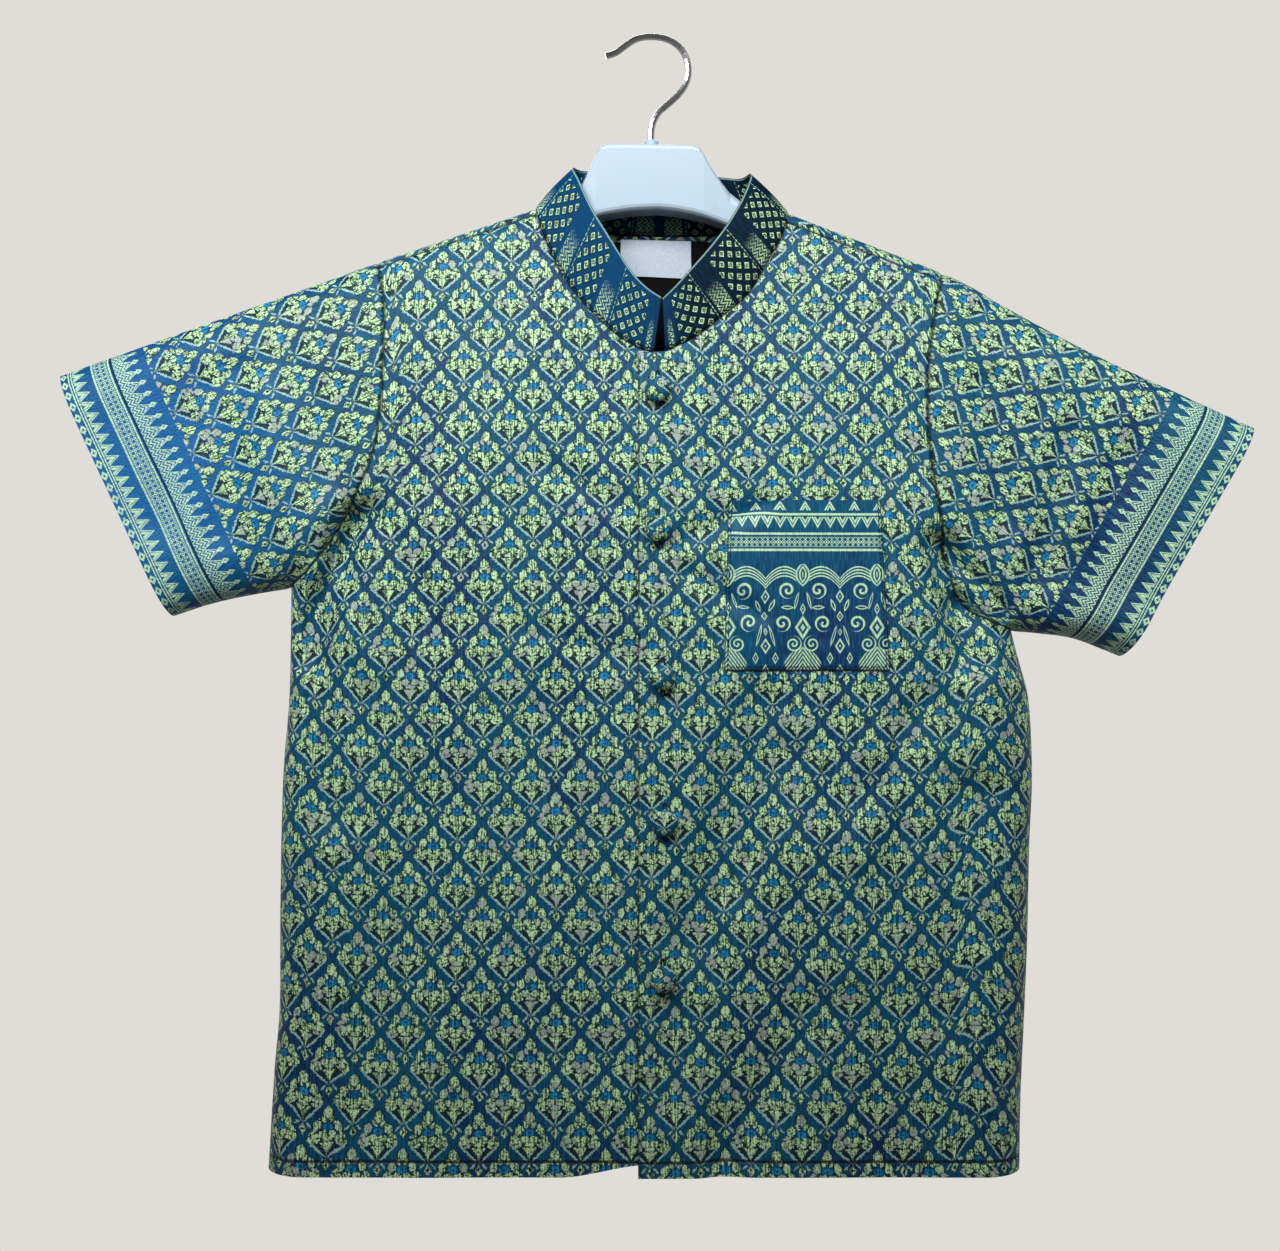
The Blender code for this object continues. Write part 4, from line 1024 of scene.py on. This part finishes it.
def flower(across, up):
    """The masks of the brocade's flower, from places counted in repeats."""
    x = abs(across.wrapped(1.0))
    y = (up - FLOWER_MIDDLE).wrapped(1.0)
    other = (x + abs(y)).above(0.5, SHARP)
    x_mm = (x + other * (0.5 - 2 * x)) * FLOWER_WIDE
    y_mm = (y - other * y.math("SIGN") * 0.5 + FLOWER_MIDDLE) * FLOWER_HIGH
    bolt = across.node("ShaderNodeCombineXYZ", None, {0: across * FLOWER_WIDE, 1: up * FLOWER_HIGH})
    shake = noise(bolt, SHAKE_SCALE, flat=True, output=1)
    fleck = Wire(shake.tree, shake.socket.node.outputs[0])
    place = across.node("ShaderNodeCombineXYZ", None, {0: x_mm - SHAKE / 2, 1: y_mm - SHAKE / 2})
    settings = {"operation": "MULTIPLY_ADD"}
    place = place.node("ShaderNodeVectorMath", settings, {0: shake, 1: (SHAKE, SHAKE, 0), 2: place})
    x_mm, y_mm = place.pair()
    taper_slope = 1 / (CUP_TOP - CUP_FOOT)
    taper = y_mm.math("MULTIPLY_ADD", taper_slope, -CUP_FOOT * taper_slope, clamp=True)
    cup_half = taper.math("POWER", 1.6).math("MULTIPLY_ADD", CUP_HALF, 0.3)
    cup = (x_mm / cup_half).most((y_mm - CUP_TOP) * 1.4 + 1)
    cup = cup.most((CUP_FOOT - 0.6 - y_mm) * 1.4 + 1)
    shapes = [oval(place, row) for row in OVALS] + [leaf(place, row) for row in LEAVES] + [cup]
    nearest, second = two_nearest(shapes)
    line = oval(place, FRAME_LINES[0])
    for row in FRAME_LINES[1:]:
        line = line.least(oval(place, row))
    seed = x_mm / SEED_HALF + abs(y_mm - SEED_Y) / SEED_HIGH
    bowl = (x_mm - (y_mm - BOWL_FOOT) * BOWL_SLOPE).below(0, 0.6) * y_mm.below(BOWL_TOP, 1.0)
    return {
        "fleck": fleck, "petal": nearest, "join": second - nearest, "line": line,
        "seed": seed, "bowl": bowl, "heart": oval(place, HEART),
    }


print(len(OVALS) + len(LEAVES) + 1, "petals and", len(FRAME_LINES), "frame lines in one flower")

# %% [markdown]
# The ground is a dark teal satin with soft clouds of navy. On one sleeve a brighter blue is painted in as
# painted sheen, for the light that the satin catches there.
# Fine upright strands run through both ground and petals. The petals go from pale green to olive from
# strand to strand, and to a lilac grey from place to place.

# %% Brocade: colours
# the dark of the pattern's outlines, also used as painted shade in seams and grooves
INK_AND_SHADE = colour_of(2, 8, 13)
BOWL_DARK = colour_of(6, 30, 40)
DEEP_TEAL = colour_of(0, 60, 90)
NAVY = colour_of(5, 34, 76)
# the brighter blue of the painted sheen on one sleeve
SHEEN_BLUE = colour_of(8, 80, 142)
SHEEN_TEAL = colour_of(20, 102, 132)
PALE_GREEN = colour_of(170, 204, 158)
OLIVE = colour_of(44, 80, 60)
LILAC = colour_of(130, 142, 144)
FRAME_BLUE = colour_of(128, 162, 152)
HEART_BLUE = colour_of(30, 126, 174)
HEM_STITCH_Z = -621.5
REPEAT_THREADS, UNIT_THREADS = (34, 3.2), (140, 12)  # strands to one repeat, and to one unit of a map
SEAM_SHADE = (0.9, 1.3)
BODY_RELIEF, BORDER_RELIEF, BAND_RELIEF, PLAIN_RELIEF = 0.45, 0.4, 0.35, 0.1  # millimetres at most


def brocade_ground(spot, strand, bright=None):
    """The satin ground: soft clouds of two blues, a painted sheen of brighter blue where asked, and upright
    strands.
    """
    streak = spot.node("ShaderNodeMapping", None, {"Vector": spot, "Scale": (16, 8, 5)})
    ground = blend(noise(streak, detail=2.0).above(0.53, 0.2), DEEP_TEAL, NAVY)
    if bright is not None:
        ground = blend(bright, ground, SHEEN_BLUE)
    return blend(strand.above(0.6, 0.3) * 0.45, ground, SHEEN_TEAL)


def brocade_colours(masks, spot, strand, ground):
    """Paints the flower's masks over the ground."""
    float_tone = strand * 0.5 + masks["fleck"] * 0.5
    pale = blend(float_tone.above(0.485, 0.14), OLIVE, PALE_GREEN)
    pale = blend(noise(spot, 110.0).above(0.6, 0.1) * 0.75, pale, LILAC)
    petal = masks["petal"]
    colour = blend(masks["bowl"] * 0.85, ground, BOWL_DARK)
    colour = blend(petal.below(1.22, 0.3), colour, INK_AND_SHADE)
    colour = blend(masks["line"].below(0.95, 0.4), colour, FRAME_BLUE)
    colour = blend(petal.below(0.98, 0.15) * masks["join"].above(0.16, 0.14), colour, pale)
    seed = blend(masks["seed"].within(0.36, 0.98, 0.16), INK_AND_SHADE, pale)
    colour = blend(masks["seed"].below(1.15, 0.2), colour, seed)
    heart = blend(masks["heart"].above(0.26, 0.2), NAVY, blend(strand.above(0.5, 0.3), DEEP_TEAL, HEART_BLUE))
    return blend(masks["heart"].below(0.95, 0.2), colour, heart)


def brocade_height(masks, strand):
    """Relief of the weave, from its strands and the steps of its floats."""
    return masks["fleck"] * 1.2 + strand * 0.6


def set_cloth_finish(tree, shader, height, colour, strand, depth_mm, roughness=0.44, shine=0.14):
    inputs = {"Height": height, "Strength": 0.7, "Distance": depth_mm * MM}
    bump = height.node("ShaderNodeBump", None, inputs)
    tree.links.new(bump.socket, shader.inputs["Normal"])
    tree.links.new(colour.socket, shader.inputs["Base Color"])
    tree.links.new(strand.math("MULTIPLY_ADD", 0.25, roughness - 0.05).socket, shader.inputs["Roughness"])
    shader.inputs["Sheen Weight"].default_value = shine * 0.1
    shader.inputs["Sheen Roughness"].default_value = 0.4
    shader.inputs["Specular IOR Level"].default_value = shine


def cloth_start(name, strands):
    """A new cloth material with its map, its place, its upright strands and its seam distance."""
    made, tree, shader, coords = new_material(name)
    uv, spot = Wire(tree, coords.outputs["UV"]), Wire(tree, coords.outputs["Object"])
    threads = uv.node("ShaderNodeMapping", None, {"Vector": uv, "Scale": (*strands, 1)})
    strand = noise(threads, flat=True)
    seam = Wire(tree, tree.nodes.new("ShaderNodeAttribute").outputs["Fac"])
    seam.socket.node.attribute_name = "seam_mm"
    return made, tree, shader, uv, spot, strand, seam


def body_brocade():
    made, tree, shader, uv, spot, strand, seam = cloth_start("body brocade", REPEAT_THREADS)
    masks = flower(*uv.pair())
    ground = brocade_ground(spot, strand)
    colour = brocade_colours(masks, spot, strand, ground)
    place = spot.node("ShaderNodeSeparateXYZ", None, {0: spot}, output=2)
    # painted shade: the seams and the hem's stitch line are darkened, as shade in their grooves
    fold = abs(place / MM - HEM_STITCH_Z)
    groove = fold.below(0.8, 0.9).most(seam.below(*SEAM_SHADE))
    colour = blend(groove * 0.85, colour, INK_AND_SHADE)
    set_cloth_finish(tree, shader, brocade_height(masks, strand) - groove * 1.5, colour, strand, BODY_RELIEF)
    return made


body = body_brocade()
print("body brocade has", len(body.node_tree.nodes), "nodes")


# %% [markdown]
# The lining, the label and the buttonholes' thread have no pattern, only a fine even weave.

# %% Plain cloths: lining, label and thread
def plain_cloth(name, colour, roughness):
    made, tree, shader, coords = new_material(name)
    spot = Wire(tree, coords.outputs["Object"])
    weave = noise(spot, 900.0)
    shade = blend(weave.above(0.5, 0.6), colour, tuple(c * 0.8 for c in colour[:3]) + (1.0,))
    set_cloth_finish(tree, shader, weave, shade, weave, PLAIN_RELIEF, roughness, 0.04)
    return made


lining_cloth = plain_cloth("black lining", colour_of(6, 6, 8), 0.7)
label_satin = plain_cloth("label satin", colour_of(150, 160, 174), 0.5)
hole_thread = plain_cloth("buttonhole thread", colour_of(26, 50, 58), 0.5)

# %% [markdown]
# The sleeves are cut so that the cloth's woven border runs round the cuff. From the edge inward it has
# dots, a double line, teeth, a small diamond band, flames, and then the flower field begins.

# %% Border brocade for the sleeves
TEETH_WIDE, FLAME_WIDE, DOT_WIDE = 6.5, 6.8, 7.0
FIELD_STARTS, FIELD_FLOWER = 49.0, 66.0  # up from the cuff's edge, as all the heights here
DOTS_UP, TEETH_UP, NET_UP, FLAMES_UP = 1.9, (7.0, 14.2), (19.2, 27.0), (35.0, 42.6)
FLAME_BAND, FLAME_FOOT, CUFF_GROOVE = (35.0, 44.0), (30.2, 35.4), (28.9, 29.8)
SLEEVE_REPEAT = (25.0, 37.0)
CUFF_LINES = [(4.2, 4.9, 0.3), (5.7, 6.4, 0.3), (17.8, 18.8, 0.4), (27.4, 28.3, 0.3)]  # from, to, softness
# where the painted sheen lies on the wearer's right sleeve, in metres, and how far it reaches, in millimetres
SHEEN_PATCH_CENTRE, SHEEN_PATCH_REACH, SHEEN_PATCH_FADES = (-0.262, -0.02, -0.238), 66, 60


def teeth(round_mm, up_mm, base, tip, wide, pitch=None):
    """A row of triangles: how far inside them a place is, 0 on their sides."""
    across = abs(round_mm.wrapped(pitch or wide)) / (wide / 2)
    return 1 - across - (up_mm - base) / (tip - base)


def netting(round_mm, up_mm, size, middle, low, high):
    """A band of small linked diamonds with a dot in each."""
    across, up = abs(round_mm.wrapped(size)), abs((up_mm - middle).wrapped(size))
    small = (across + up) * (2 / size)
    return small.within(0.84, 1.16, 0.15).most(small.below(0.45, 0.2)) * up_mm.within(low, high, 0.3)


def chevrons(round_mm, up_mm, wide, pitch):
    """Close rows of pointed arches, as lines."""
    rising = up_mm + abs(round_mm.wrapped(wide)) * 1.4
    return rising.wrapped(pitch).within(-pitch / 4, pitch / 4, pitch / 4)


def border_brocade():
    made, tree, shader, uv, spot, strand, seam = cloth_start("border brocade", UNIT_THREADS)
    round_mm, up_mm = (part / MAP_UNIT for part in uv.pair())
    masks = flower(round_mm / SLEEVE_REPEAT[0], (up_mm - FIELD_FLOWER) / SLEEVE_REPEAT[1])
    # painted sheen: the ground turns brighter blue round one spot on the sleeve
    away = spot.node("ShaderNodeVectorMath", {"operation": "DISTANCE"}, {0: spot, 1: SHEEN_PATCH_CENTRE}, output=1)
    bright = (away * 1000).below(SHEEN_PATCH_REACH, SHEEN_PATCH_FADES) * 0.75
    ground = brocade_ground(spot, strand, bright)
    field = brocade_colours(masks, spot, strand, ground)
    dot = abs(round_mm.wrapped(DOT_WIDE)) / 2.8 + abs(up_mm - DOTS_UP) / 2.1
    edge_dots = dot.within(0.35, 1.0, 0.3) * up_mm.below(4.0, 0.2)
    tooth = teeth(round_mm, up_mm, *TEETH_UP, TEETH_WIDE)
    teeth_band = tooth.within(0.0, 0.2, 0.08).most(tooth.within(0.3, 0.75, 0.12))
    teeth_band = teeth_band * up_mm.within(6.9, 14.4, 0.3)
    net = netting(round_mm, up_mm, 3.0, 23.0, *NET_UP)
    flame = teeth(round_mm, up_mm, *FLAMES_UP, FLAME_WIDE)
    tip = abs(round_mm.wrapped(FLAME_WIDE)) / 1.5 + abs(up_mm - 42.4) / 2.6
    flame_high = up_mm.within(*FLAME_BAND, 0.4)
    flames = up_mm.within(*FLAME_FOOT, 0.4).most(flame.above(0.0, 0.1) * flame_high)
    flames = flames * chevrons(round_mm, up_mm, FLAME_WIDE / 2, 2.3)
    flames = flames.most(flame.within(0.0, 0.16, 0.08) * flame_high)
    border = edge_dots.most(teeth_band).most(net).most(flames).most(tip.within(0.35, 1.0, 0.25))
    for low, high, soft in CUFF_LINES:
        border = border.most(up_mm.within(low, high, soft))
    border_colour = blend(border, ground, blend(strand.above(0.5, 0.3), FRAME_BLUE, PALE_GREEN))
    # painted shade: the cuff's groove and the armhole seam are darkened, as shade in their grooves
    groove = up_mm.within(*CUFF_GROOVE, 0.5).most(seam.below(*SEAM_SHADE))
    in_field = up_mm.above(FIELD_STARTS, 0.3)
    colour = blend(groove * 0.85, blend(in_field, border_colour, field), INK_AND_SHADE)
    height = brocade_height(masks, strand) - groove * 1.5
    set_cloth_finish(tree, shader, height, colour, strand, BORDER_RELIEF)
    return made


border = border_brocade()
print("border brocade has", len(border.node_tree.nodes), "nodes")

# %% [markdown]
# The collar and the pocket are cut from other bands of the same cloth. On the collar, clusters of small
# diamonds stand between bands of fine zigzags and thin dashed lines, with plain satin between.

# %% Collar brocade
COLLAR_REPEAT = 34.0
DIAMONDS_WIDE, DIAMONDS_HIGH = 7.4, 8.0
CLUSTER, DASHES, ZIGZAGS = (-9.6, 9.4), (10.3, 10.7), (12.4, 17.1)  # from the middle of a repeat
COLLAR_STITCH, COLLAR_TOP_LINE = 1.6, (32.9, 33.7)
# one cloth in two tones: the left half is darker as painted shade, the right half lighter as painted light
SHADED_LEFT_COLLAR, LIT_RIGHT_COLLAR = colour_of(0, 14, 30), colour_of(0, 46, 80)


def collar_brocade():
    made, tree, shader, uv, spot, strand, seam = cloth_start("collar brocade", UNIT_THREADS)
    along_mm, up_mm = (part / MAP_UNIT for part in uv.pair())
    x_place, _ = spot.pair()
    # painted shade: the ground darkens from the collar's right half to its left half
    ground = blend((x_place * 1000).above(8, 30), LIT_RIGHT_COLLAR, SHADED_LEFT_COLLAR)
    ground = blend(strand.above(0.6, 0.3) * 0.1, ground, SHEEN_TEAL)
    run = (along_mm - 17.0).wrapped(COLLAR_REPEAT)
    x = abs((run + 1.5).wrapped(DIAMONDS_WIDE))
    y = abs((up_mm - 2).wrapped(DIAMONDS_HIGH))
    other = (x / DIAMONDS_WIDE + y / DIAMONDS_HIGH).above(0.5, SHARP)
    diamond = (x + other * (DIAMONDS_WIDE / 2 - 2 * x)) / 2.0
    diamond = diamond + (y + other * (DIAMONDS_HIGH / 2 - 2 * y)) / 2.2
    cluster = run.within(*CLUSTER, 0.2) * up_mm.below(30, 0.3)
    mask = diamond.within(0.55, 1.0, 0.2).most(diamond.below(0.22, 0.15)) * cluster
    zigzag = chevrons(up_mm, run, 4.2, 2.6) * abs(run).within(*ZIGZAGS, 0.3)
    dashes = up_mm.wrapped(2.6).within(-0.85, 0.85, 0.2) * run.within(*DASHES, 0.2)
    mask = mask.most(zigzag * up_mm.below(12, 14)).most(dashes) * along_mm.above(2.0, 0.5)
    pale = blend(strand.above(0.42, 0.3), OLIVE, PALE_GREEN)
    colour = blend(mask * 0.8, blend(diamond.below(1.35, 0.3) * cluster * 0.7, ground, INK_AND_SHADE), pale)
    # a pale blue line just under the collar's top edge
    colour = blend(up_mm.within(*COLLAR_TOP_LINE, 0.4) * 0.6, colour, FRAME_BLUE)
    # painted shade: the stitch line above the neckline and the neckline seam are darkened, as shade in their
    # grooves
    groove = abs(up_mm - COLLAR_STITCH).below(0.4, 0.5).most(seam.below(0.8, 1.2))
    colour = blend(groove * 0.8, colour, INK_AND_SHADE)
    set_cloth_finish(tree, shader, mask - groove, colour, strand, BAND_RELIEF, 0.6, 0.04)
    return made


collar_cloth = collar_brocade()

# %% [markdown]
# The pocket shows the cloth's widest border: a row of small triangles, teeth that hang down, a band of
# netting, a plain stripe, and under it arches, spirals and little leaves.

# %% Pocket brocade
SCROLL_WIDE, SCROLL_TOP = 40.6, 36.0
POCKET_LINES = [(7.2, 8.4), (17.8, 19.0), (26.6, 27.9)]  # down from the pocket's edge
UPPER_TEETH, SAW_TEETH = (5.4, 0.4, 6.0, 13.4), (9.3, 15.4, 6.8)  # base, tip, width, pitch
ARCH_PITCH, ARCH_CENTRE, ARCH_CURVE = 1.65, 10.0, 0.062
DROP, BLOOM = (0.0, 4.6, 4.2, 6.6, 0), (0.0, 53.0, 10.0, 9.0, 0)
DROP_RINGS = [(0.72, 0.96, 0.12), (0.3, 0.5, 0.1), (-0.08, 0.08, 0.08)]
SPIRALS = [  # centre x, down from the scroll's top, radius, pitch, way round
    (8.3, 13.2, 4.6, 3.3, 1), (11.2, 31.2, 4.6, 3.3, -1), (5.0, 42.4, 4.4, 2.4, 1),
]
SCROLL_DIAMONDS = [  # centre x, down from the scroll's top, half width, half height
    (0, 23.4, 1.5, 3.2), (0, 33.5, 4.2, 6.4), (0, 33.5, 1.2, 2.0), (20.3, 16.6, 2.2, 3.6),
    (20.3, 27.4, 1.9, 2.8), (20.3, 36.0, 1.1, 1.8), (20.3, 43.6, 2.7, 4.2), (14.9, 50.2, 1.7, 3.2),
    (20.3, 56.4, 1.8, 2.9),
]
SCROLL_LEAVES = [
    (8.4, 22.6, 1.1, 3.6, 88), (3.4, 19.0, 0.8, 5.0, -14),
    (16.6, 21.4, 1.1, 3.6, -20), (16.8, 38.0, 0.8, 6.0, 16),
]


def scroll_lines(x, down):
    """Lines of one scroll, mirrored about its drop: x from the drop, down from the arch's top."""
    arch = (down - (x - ARCH_CENTRE).math("POWER", 2.0) * ARCH_CURVE) * -1
    lines = (arch * (-1 / ARCH_PITCH)).math("FRACT").within(0.05, 0.5, 0.15)
    lines = lines * arch.within(-6.4, 0.3, 0.3) * x.above(3.6, 0.3)
    drop = x.node("ShaderNodeCombineXYZ", None, {0: x, 1: down})
    drop_out = leaf(drop, DROP)
    for low, high, soft in DROP_RINGS:
        lines = lines.most(drop_out.within(low, high, soft))
    for centre_x, centre_down, radius, pitch, way in SPIRALS:
        inputs = {0: drop, 1: (centre_x, centre_down, 0)}
        length = drop.node("ShaderNodeVectorMath", {"operation": "DISTANCE"}, inputs, output=1)
        turn = (x - centre_x).math("ARCTAN2", down - centre_down) * (way / (2 * math.pi))
        coil = (length / pitch + turn).math("FRACT").within(0.32, 0.68, 0.14)
        lines = lines.most(coil * length.below(radius, 0.3))
    for centre_x, centre_down, wide, high in SCROLL_DIAMONDS:
        out = abs(x - centre_x) / wide + abs(down - centre_down) / high
        lines = lines.most(out.within(0.66, 1.02, 0.16)).most(out.below(0.2, 0.12))
    for row in SCROLL_LEAVES:
        lines = lines.most(leaf(drop, row).within(0.5, 1.0, 0.25))
    bloom = leaf(drop, BLOOM).below(1.0, 0.1)
    return lines.most(bloom * chevrons(x, down * -1, 40.0, 2.6))


def pocket_brocade():
    made, tree, shader, uv, spot, strand, seam = cloth_start("pocket brocade", UNIT_THREADS)
    across, up = uv.pair()
    x, y = across / MAP_UNIT, up / -MAP_UNIT
    ground = brocade_ground(spot, strand)
    upper = teeth(x, y, *UPPER_TEETH)
    saw = teeth(x, y, *SAW_TEETH)
    bands = upper.within(0.0, 0.3, 0.12).most(upper.within(0.45, 0.7, 0.1)) * y.within(0.3, 5.6, 0.3)
    bands = bands.most(saw.within(0.0, 0.25, 0.1).most(saw.within(0.4, 0.7, 0.1)) * y.within(9.2, 15.6, 0.3))
    bands = bands.most(netting(x, y, 2.9, 23.0, 20.2, 25.6))
    for low, high in POCKET_LINES:
        bands = bands.most(y.within(low, high, 0.3))
    scrolls = scroll_lines(abs((x + 1.4).wrapped(SCROLL_WIDE)), y - SCROLL_TOP)
    mask = bands.most(scrolls * y.above(SCROLL_TOP - 1, 0.3))
    colour = blend(mask, ground, blend(strand.above(0.42, 0.3), FRAME_BLUE, PALE_GREEN))
    stitch = seam.within(1.5, 2.2, 0.3) * (x + y).wrapped(3.2).within(-1.1, 1.1, 0.3)
    # painted shade along the pocket's sewn sides and bottom; the dashed stitches above are dark thread
    edge = seam.below(0.5, 0.8)
    colour = blend(stitch.most(edge) * 0.9, colour, INK_AND_SHADE)
    set_cloth_finish(tree, shader, strand - stitch * 1.2, colour, strand, BAND_RELIEF)
    return made


pocket_cloth = pocket_brocade()

# %% [markdown]
# Each piece now gets its cloth. The fronts, the back and the sleeves have the same cloth inside, and
# the black lining shows in the neck.

# %% Dress the pieces
DRESS = [
    ([*fronts.values(), back_piece, *buttons], body, "brocade"),
    (sleeves.values(), border, "border_brocade"),
    ([collar_piece], collar_cloth, "collar_brocade"),
    ([pocket_piece], pocket_cloth, "border_brocade"),
    ([lining_piece], lining_cloth, "black_lining"),
    ([label_piece], label_satin, "label_satin"),
    (buttonholes, hole_thread, "brocade"),
]
for pieces, material, slot in DRESS:
    for piece in pieces:
        piece.data.materials.clear()
        piece.data.materials.append(material)
    print(len(pieces), "in", material.name)

# %% [markdown]
# The hanger is moulded in pale plastic, and its hook is bent from plated wire.

# %% Hanger and hook
def hard_finish(name, colour, roughness, metallic, coat):
    made, tree, shader, coords = new_material(name)
    spot = Wire(tree, coords.outputs["Object"])
    grain = noise(spot, 60.0, 4.0)
    rough = grain.math("MULTIPLY_ADD", roughness * 0.4, roughness * 0.8)
    tree.links.new(rough.socket, shader.inputs["Roughness"])
    bump = grain.node("ShaderNodeBump", None, {"Height": grain, "Strength": 0.15, "Distance": 0.2 * MM})
    tree.links.new(bump.socket, shader.inputs["Normal"])
    tint = blend(grain, colour, tuple(c * 0.94 for c in colour[:3]) + (1.0,))
    tree.links.new(tint.socket, shader.inputs["Base Color"])
    shader.inputs["Metallic"].default_value = metallic
    shader.inputs["Coat Weight"].default_value = coat
    return made


plastic = hard_finish("hanger plastic", colour_of(138, 157, 173), 0.32, 0.0, 0.1)
steel = hard_finish("hook steel", colour_of(188, 190, 194), 0.18, 1.0, 0.0)
for name, material in (("hanger", plastic), ("hook_ferrule", plastic), ("hook", steel)):
    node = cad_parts[name]
    for place in node.material_slots:
        place.material = material

# %% [markdown]
# The shirt hangs over a pale floor in front of a pale, even horizon. The world is bright only in a
# band round the horizon, and dimmer before the shirt than behind it, so that the lamps can model the
# folds. A long softbox above makes the chest brighter than the hem, a small key lamp from the shirt's
# right side draws the creases, and a third lamp stands behind.

# %% Studio
PAINT = colour_of(224, 221, 217)
BAND_LOW, BAND_HIGH = 0.36, 0.52  # sines of the angle above the horizon where the bright band ends
LAMPS = [  # name, place, size, watts, spread in degrees, target
    ("long softbox", (0.1, -0.62, 0.36), (1.5, 0.3), 4.9, 70, (0.06, 0.0, -0.12)),
    ("key", (-0.55, -0.7, 0.3), (0.35, 0.3), 1.3, 80, (0.02, 0.0, -0.15)),
    ("back", (-0.2, 1.0, 0.3), (0.8, 0.5), 2.4, 120, (0.0, 0.0, -0.35)),
]
BEYOND, BEFORE = 0.06, 0.2  # share of the light beyond the band, and in it before the shirt


def studio_floor():
    bpy.ops.object.select_all(action="DESELECT")
    bpy.ops.mesh.primitive_cylinder_add(vertices=96, radius=3.4, depth=0.1, location=(0, 0, -2.05))
    floor = bpy.context.object
    floor.name = floor.data.name = "studio_floor"
    bpy.ops.object.transform_apply(location=True, rotation=True, scale=True)
    made, _, shader, _ = new_material("floor paint")
    shader.inputs["Base Color"].default_value = PAINT
    shader.inputs["Roughness"].default_value = 0.9
    shader.inputs["Emission Color"].default_value = PAINT
    shader.inputs["Emission Strength"].default_value = 0.3
    floor.data.materials.append(made)


def lamp(name, place, size, power, spread, target):
    bpy.ops.object.select_all(action="DESELECT")
    bpy.ops.object.light_add(type="AREA", location=place)
    made = bpy.context.object
    made.name = name
    made.visible_camera = False
    made.data.shape = "RECTANGLE"
    made.data.size, made.data.size_y = size
    made.data.energy = power
    made.data.spread = math.radians(spread)
    made.data.color = (1.0, 0.99, 0.97)
    made.rotation_euler = (Vector(target) - Vector(place)).to_track_quat("-Z", "Y").to_euler()


def light_world():
    world = bpy.context.scene.world or bpy.data.worlds.new("world")
    bpy.context.scene.world = world
    world.use_nodes = True
    tree = world.node_tree
    direction = Wire(tree, tree.nodes.new("ShaderNodeTexCoord").outputs["Generated"])
    _, behind = direction.pair()
    height = abs(direction.node("ShaderNodeSeparateXYZ", None, {0: direction}, output=2))
    share = height.below((BAND_LOW + BAND_HIGH) / 2, BAND_HIGH - BAND_LOW)
    share = share * behind.above(0.3, 0.9).math("MULTIPLY_ADD", 1 - BEFORE, BEFORE)
    strength = share.math("MULTIPLY_ADD", 1 - BEYOND, BEYOND)
    background = tree.nodes["Background"]
    background.inputs[0].default_value = PAINT
    tree.links.new(strength.socket, background.inputs[1])


studio_floor()
for row in LAMPS:
    lamp(*row)
light_world()
bpy.context.scene.view_settings.view_transform = "Standard"
